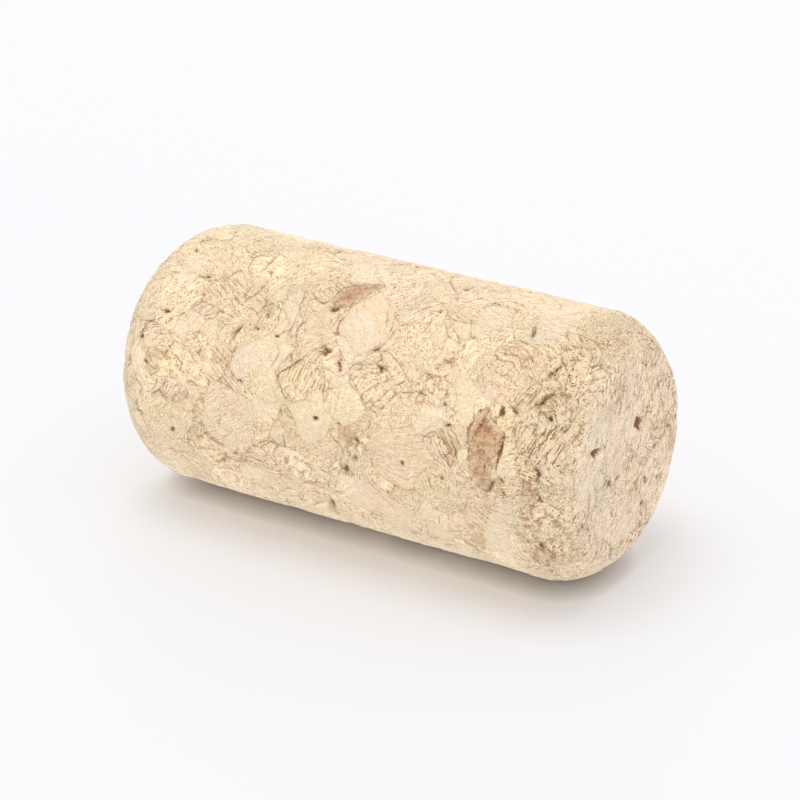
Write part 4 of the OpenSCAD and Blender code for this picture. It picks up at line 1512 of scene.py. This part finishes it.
    def flakes(self, paint: Painter, cork: Sockets) -> None:
        """Paints the flakes of bark: tan, with a redder heart, dark mottles and a dark rim.

        Args:
            paint: The painter.
            cork: The granule field and the skin's features.
        """
        bark, flake = cork[Kind.BARK.value], cork["flake"]
        paint.lay(flake, self.bark)
        heart = paint.times(paint.ramp(bark, 0.1, 0.8, 0.0, 0.9), flake)
        paint.lay(paint.times(heart, paint.ramp(cork["gape"], 0.35, 0.6, 0.45, 1.0)), self.bark_red)
        edge = math_node(paint.tree, "ABSOLUTE", bark)
        rim = paint.times(paint.ramp(edge, 0.0, 0.1, 0.6, 0.0), cork["broken"])
        specks = paint.ramp(cork["crumbled"], 0.78, 0.95, 0.0, 0.55)
        mottle = paint.most(specks, paint.ramp(cork["grain"], 0.44, 0.34, 0.0, 0.55))
        paint.lay(paint.most(rim, paint.times(flake, mottle)), self.bark_dark)

    def lines(self, paint: Painter, cork: Sockets) -> bpy.types.NodeSocket:
        """Draws growth lines, the rows of bands, and seams with a faint painted shade beside them.

        Args:
            paint: The painter.
            cork: The granule field and the skin's features.

        Returns:
            The mask of all the lines, for the relief.
        """
        striated = paint.ramp(cork["green"], 0.3, 0.6, 0.1, 1.0)
        patchy = paint.ramp(cork["gape"], 0.42, 0.6, 0.2, 1.0)
        growth = paint.times(paint.ramp(cork["line"], 0.01, 0.07, 0.8, 0.0), patchy, striated)
        bent = paint.raised(cork["grit"], 0.3, cork["layer"])
        apart = math_node(paint.tree, "PINGPONG", bent, self.band_spacing / 2)
        worn = paint.times(cork["banded"], paint.raised(cork["torn_or_end"], -0.3, 1.0))
        rows = paint.times(paint.ramp(apart, 0.01, 0.06, 0.6, 0.0), worn)
        open_seams = paint.ramp(cork["gape"], 0.42, 0.62, 0.2, 1.0)
        seams = paint.times(paint.ramp(cork["seam"], 0.01, 0.06, 0.85, 0.0), open_seams)
        # Painted shade: a faint tan beside the open seams
        paint.lay(paint.times(paint.ramp(cork["seam"], 0.0, 0.2, 0.15, 0.0), open_seams), self.painted_hollow_shade)
        drawn = paint.most(paint.most(growth, rows), seams)
        drawn = paint.times(drawn, cork["loud"], cork["broken"])
        paint.lay(paint.times(drawn, paint.raised(cork["flake"], -0.7, 1.0)), self.line)
        return drawn

    def cracks(self, paint: Painter, cork: Sockets) -> bpy.types.NodeSocket:
        """Draws the cracks, dark and ragged, in a soft painted tan shade. Their dark is partly painted shade
        in the gap, the more so the wider they are, and thin ones are fainter.

        A point lies in a crack where the room is above 0: six tenths of the crack's half-width,
        less how far the point lies beside its path, which the speckle makes ragged.

        Args:
            paint: The painter.
            cork: The granule field and the skin's features.

        Returns:
            The mask of the cracks, for the relief.
        """
        half = paint.read("crack_half")
        side = math_node(paint.tree, "ABSOLUTE", paint.raised(cork["ragged"], 0.5, paint.read("crack_side")))
        side = paint.most(side, paint.less(paint.read("crack_gap"), 0.1))
        room = paint.less(paint.times(half, 0.6), side)
        # Painted shade: soft tan beside each crack
        shade = paint.times(paint.ramp(room, -0.14, 0.0, 0.0, 0.15), paint.ramp(half, 0.0, 0.08))
        paint.lay(shade, self.painted_hollow_shade)
        # The dark core, partly painted shade in the gap, darker on wider cracks
        ragged = paint.raised(cork["broken"], 0.6, 0.4)
        deep = paint.ramp(half, 0.04, 0.13, 0.42, 1.0)
        dark = paint.times(paint.ramp(room, -0.03, 0.01), ragged, deep)
        paint.lay(dark, self.crack)
        return dark

    def holes(self, paint: Painter, cork: Sockets) -> None:
        """Darkens pits and pores, partly as painted shade in the hollows, with a faint darkening round the
        pits.

        Args:
            paint: The painter.
            cork: The granule field and the skin's features.
        """
        pit = cork[Kind.PIT.value]
        # A faint darkening from just outside each pit's rim
        paint.lay(paint.ramp(pit, -0.2, 0.05, 0.0, 0.2), self.line)
        # Pits and pores in brown, partly painted shade in the hollow
        painted_hollow_shade = paint.ramp(pit, -0.04, 0.1, 0.0, 0.95)
        pore = paint.ramp(paint.less(cork["ragged"], cork["pore"]), -0.05, 0.12, 0.0, 0.5)
        paint.lay(paint.most(painted_hollow_shade, paint.times(pore, cork["loud"])), self.pit)

    def roughen(
        self, paint: Painter, cork: Sockets, drawn: bpy.types.NodeSocket, dark: bpy.types.NodeSocket
    ) -> bpy.types.NodeSocket:
        """Turns the grain, the lines and the cracks into a fine bump.

        Torn cork is the roughest. The ends are a little rougher than the wall, with their sawn
        ridges, and no more than that, because a strong bump darkens them.

        Args:
            paint: The painter.
            cork: The granule field and the skin's features.
            drawn: The mask of the lines.
            dark: The mask of the cracks.

        Returns:
            The bumped normal.
        """
        height = paint.times(math_node(paint.tree, "MINIMUM", cork["contour"], 0.1), 0.4)
        depth = paint.raised(cork["torn_or_end"], 0.2, paint.raised(cork["end"], -0.14, 0.1))
        height = math_node(paint.tree, "MULTIPLY_ADD", cork["grain"], depth, height)
        for part, factor in ((cork["ridges"], 0.3), (drawn, -0.04), (dark, -0.03)):
            height = paint.raised(part, factor, height)
        inputs = {"Height": height, "Strength": 1.0, "Distance": METRE}
        return add_node(paint.tree, "ShaderNodeBump", inputs).outputs[0]

    def gather(self, paint: Painter, grains: GranuleField) -> Sockets:
        """Reads the skin's features, and adds them to the granule field.

        A little of the speckle is added to the distance inside each patch, so that its edge is
        ragged.

        Args:
            paint: The painter.
            grains: The field that the skin's relief was made from.

        Returns:
            The field, with the patches, the parts of the granules' random colours as red, green
            and blue, and the masks that several layers share.
        """
        point = paint.read("ground_point", "Vector")
        cork = grains.build(paint.tree, point)
        cork["point"] = point
        cork["ragged"] = paint.raised(cork["speckle"], 0.5, -0.25)
        for kind in Kind:
            cork[kind.value] = math_node(paint.tree, "ADD", paint.read(kind.value), cork["ragged"])
        parts = add_node(paint.tree, "ShaderNodeSeparateXYZ", {0: cork["tone"]})
        cork.update(zip(("red", "green", "blue"), parts.outputs))
        cork["calm"] = paint.ramp(cork[Kind.CHALK.value], -0.1, 0.12)
        cork["busy"] = paint.ramp(cork[Kind.BLUSH.value], -0.3, 0.5)
        cork["banded"] = paint.ramp(cork[Kind.BAND.value], -0.1, 0.2)
        cork["flake"] = paint.ramp(cork[Kind.BARK.value], -0.06, 0.04)
        cork["end"] = paint.read("end_grain")
        cork["torn"] = paint.read("torn")
        cork["torn_or_end"] = paint.most(cork["torn"], cork["end"])
        cork["layer"] = paint.read("layer")
        cork["broken"] = paint.ramp(cork["grit"], 0.42, 0.56, 0.2, 1.0)
        cork["crumbled"] = paint.raised(cork["speckle"], 0.6, cork["grit"])
        cork["loud"] = self.loudness(paint, cork)
        return cork

    def build(self, grains: GranuleField) -> bpy.types.Material:
        """Makes the material, from the body colours up to the pits.

        Args:
            grains: The field that the skin's relief was made from.

        Returns:
            The material.
        """
        material = bpy.data.materials.new("agglomerated_cork_ground")
        material.use_nodes = True
        tree = material.node_tree
        tree.nodes.clear()
        paint = Painter(tree, linear(self.cream))
        cork = self.gather(paint, grains)
        self.body(paint, cork)
        self.grain(paint, cork, grains)
        self.weave(paint, cork)
        self.flakes(paint, cork)
        drawn = self.lines(paint, cork)
        dark = self.cracks(paint, cork)
        self.holes(paint, cork)
        shader = add_node(
            tree,
            "ShaderNodeBsdfPrincipled",
            {
                "Base Color": paint.colour,
                "Roughness": self.roughness,
                "Specular IOR Level": self.specular,
                "Sheen Weight": self.fuzz,
                "Sheen Roughness": self.fuzz_roughness,
                "Normal": self.roughen(paint, cork, drawn, dark),
            },
        )
        add_node(tree, "ShaderNodeOutputMaterial", {"Surface": shader.outputs[0]})
        return material


@dataclass
class Studio:
    """The table, camera and light. The table touches the stopper's side, at +Y, and faces -Y.

    Lengths are millimetres and angles degrees, but for clip_start, which is metres. The camera
    stands at a distance from its aim, by an elevation over the table and a heading from the
    stopper's side towards its upper end. A lamp's lean is how far it stands off its main
    direction, as a share of it.
    """

    radius: float
    table_reach: float = 900.0
    distance: float = 256.6
    elevation: float = 24.1
    heading: float = 32.3
    aim: tuple[float, float, float] = (-0.09, 0.26, 22.83)
    focal: float = 135.0
    sensor: float = 36.0
    clip_start: float = 0.01
    table_colour: str = "#e6e6e9"
    # The table's painted glow, and the painted contact shade under the stopper
    table_painted_glow: float = 0.1
    painted_contact_shade: str = "#3a323e"
    contact_reach: float = 2.0
    contact_power: float = 0.45
    top_power: float = 0.7
    top_lean: float = 0.15
    rear_power: float = 0.4
    rear_lean: float = 0.26
    front_power: float = 0.45
    front_lean: float = 0.5
    spread: float = 36.0
    fill: float = 1.0

    def axes(self) -> np.ndarray:
        """Gives the camera's right, up and back as columns, level over the table."""
        e, h = math.radians(self.elevation), math.radians(self.heading)
        back = np.array([math.cos(e) * math.cos(h), -math.sin(e), math.cos(e) * math.sin(h)])
        right = np.array([-math.sin(h), 0.0, math.cos(h)])
        return np.stack([right, np.cross(back, right), back], axis=1)

    def place(self, item: bpy.types.Object, axes: np.ndarray, spot: np.ndarray) -> None:
        """Sets an object's place and turn, and puts it in the scene.

        Args:
            item: The camera or lamp.
            axes: Its own X, Y and Z as columns. It looks along -Z.
            spot: Where it stands, in millimetres.
        """
        matrix = np.eye(4)
        matrix[:3, :3] = axes
        matrix[:3, 3] = np.array(spot) * METRE
        item.matrix_world = Matrix(matrix)
        bpy.context.scene.collection.objects.link(item)

    def camera(self) -> None:
        """Puts the camera at its distance from the aim, looking at it."""
        axes = self.axes()
        data = bpy.data.cameras.new("camera")
        data.sensor_width = self.sensor
        data.lens = self.focal
        data.clip_start = self.clip_start
        camera = bpy.data.objects.new("camera", data)
        self.place(camera, axes, np.array(self.aim) + self.distance * axes[:, 2])
        bpy.context.scene.camera = camera

    def table(self) -> None:
        """Lays the table: one square that only the camera sees, clear from behind.

        It is white, with a faint painted glow that stands in for light from below, so shadows on it stay
        pale. Within the contact reach of whatever stands over it, it turns to a painted contact shade, by the
        open share of the sky to a power, because light does not get in where the stopper meets it.
        """
        half = self.table_reach
        y = self.radius
        corners = [(-half, y, -half), (half, y, -half), (half, y, half), (-half, y, half)]
        mesh = bpy.data.meshes.new("table")
        mesh.from_pydata(np.array(corners) * METRE, [], [(0, 1, 2, 3)])
        table = bpy.data.objects.new("table", mesh)
        bpy.context.scene.collection.objects.link(table)
        material = bpy.data.materials.new("white_table_painted_glow_and_shade")
        material.use_nodes = True
        tree = material.node_tree
        tree.nodes.clear()
        near = add_node(
            tree,
            "ShaderNodeAmbientOcclusion",
            {"Color": (1, 1, 1, 1), "Distance": self.contact_reach * METRE},
            samples=8,
        ).outputs["AO"]
        # Painted contact shade, from ambient occlusion
        shade = math_node(tree, "POWER", near, self.contact_power)
        tone = blended(tree, shade, linear(self.painted_contact_shade), linear(self.table_colour))
        face = add_node(tree, "ShaderNodeBsdfDiffuse", {"Color": tone}).outputs[0]
        # Painted glow: the table's own emission lifts its shadows
        glow = add_node(tree, "ShaderNodeEmission", {"Color": tone}).outputs[0]
        lit = add_node(tree, "ShaderNodeMixShader", {0: self.table_painted_glow, 1: face, 2: glow}).outputs[0]
        clear = add_node(tree, "ShaderNodeBsdfTransparent").outputs[0]
        side = add_node(tree, "ShaderNodeNewGeometry").outputs["Backfacing"]
        sheet = add_node(tree, "ShaderNodeMixShader", {0: side, 1: lit, 2: clear}).outputs[0]
        add_node(tree, "ShaderNodeOutputMaterial", {"Surface": sheet})
        mesh.materials.append(material)
        table.visible_diffuse = False
        table.visible_glossy = False
        table.visible_transmission = False
        table.visible_shadow = False

    def light(self) -> None:
        """Hangs three broad soft lamps in a white surround.

        The top lamp leans a little to the left, the rear one stands low behind the stopper, and
        the front one stands level with the table, turned to the right.
        """
        right, _, back = self.axes().T
        up = np.array([0.0, -1.0, 0.0])
        ahead = back * [1, 0, 1]
        ahead /= np.linalg.norm(ahead)
        for name, towards, power in (
            ("top", up - self.top_lean * right, self.top_power),
            ("rear", self.rear_lean * up - ahead, self.rear_power),
            ("front", ahead + self.front_lean * right, self.front_power),
        ):
            towards = towards / np.linalg.norm(towards)
            side = np.cross(up, towards)
            side /= np.linalg.norm(side)
            data = bpy.data.lights.new(name, "SUN")
            data.energy = power
            data.angle = math.radians(self.spread)
            lamp = bpy.data.objects.new(name, data)
            self.place(lamp, np.stack([side, np.cross(towards, side), towards], axis=1), np.zeros(3))
        world = bpy.data.worlds.new("surround")
        world.use_nodes = True
        tree = world.node_tree
        tree.nodes.clear()
        sky = add_node(tree, "ShaderNodeBackground", {"Color": (1, 1, 1, 1), "Strength": self.fill})
        add_node(tree, "ShaderNodeOutputWorld", {"Surface": sky.outputs[0]})
        bpy.context.scene.world = world

    def build(self) -> None:
        """Sets the whole studio up."""
        self.camera()
        self.table()
        self.light()
        bpy.context.scene.view_settings.view_transform = "Standard"


def main() -> None:
    """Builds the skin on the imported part, dresses it and sets up the studio."""
    logging.basicConfig(level=logging.INFO, format="%(name)s: %(message)s")
    low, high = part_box(NODE)
    section = Section(radius=(high.x - low.x) / 2 / METRE, length=(high.z - low.z) / METRE)
    grains = GranuleField()
    piece = Skin(section, grains).make()
    piece.data.materials.append(AgglomeratedCork().build(grains))
    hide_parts(NODE)
    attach(piece, "root")
    Studio(section.radius).build()


if __name__ == "__main__":
    main()
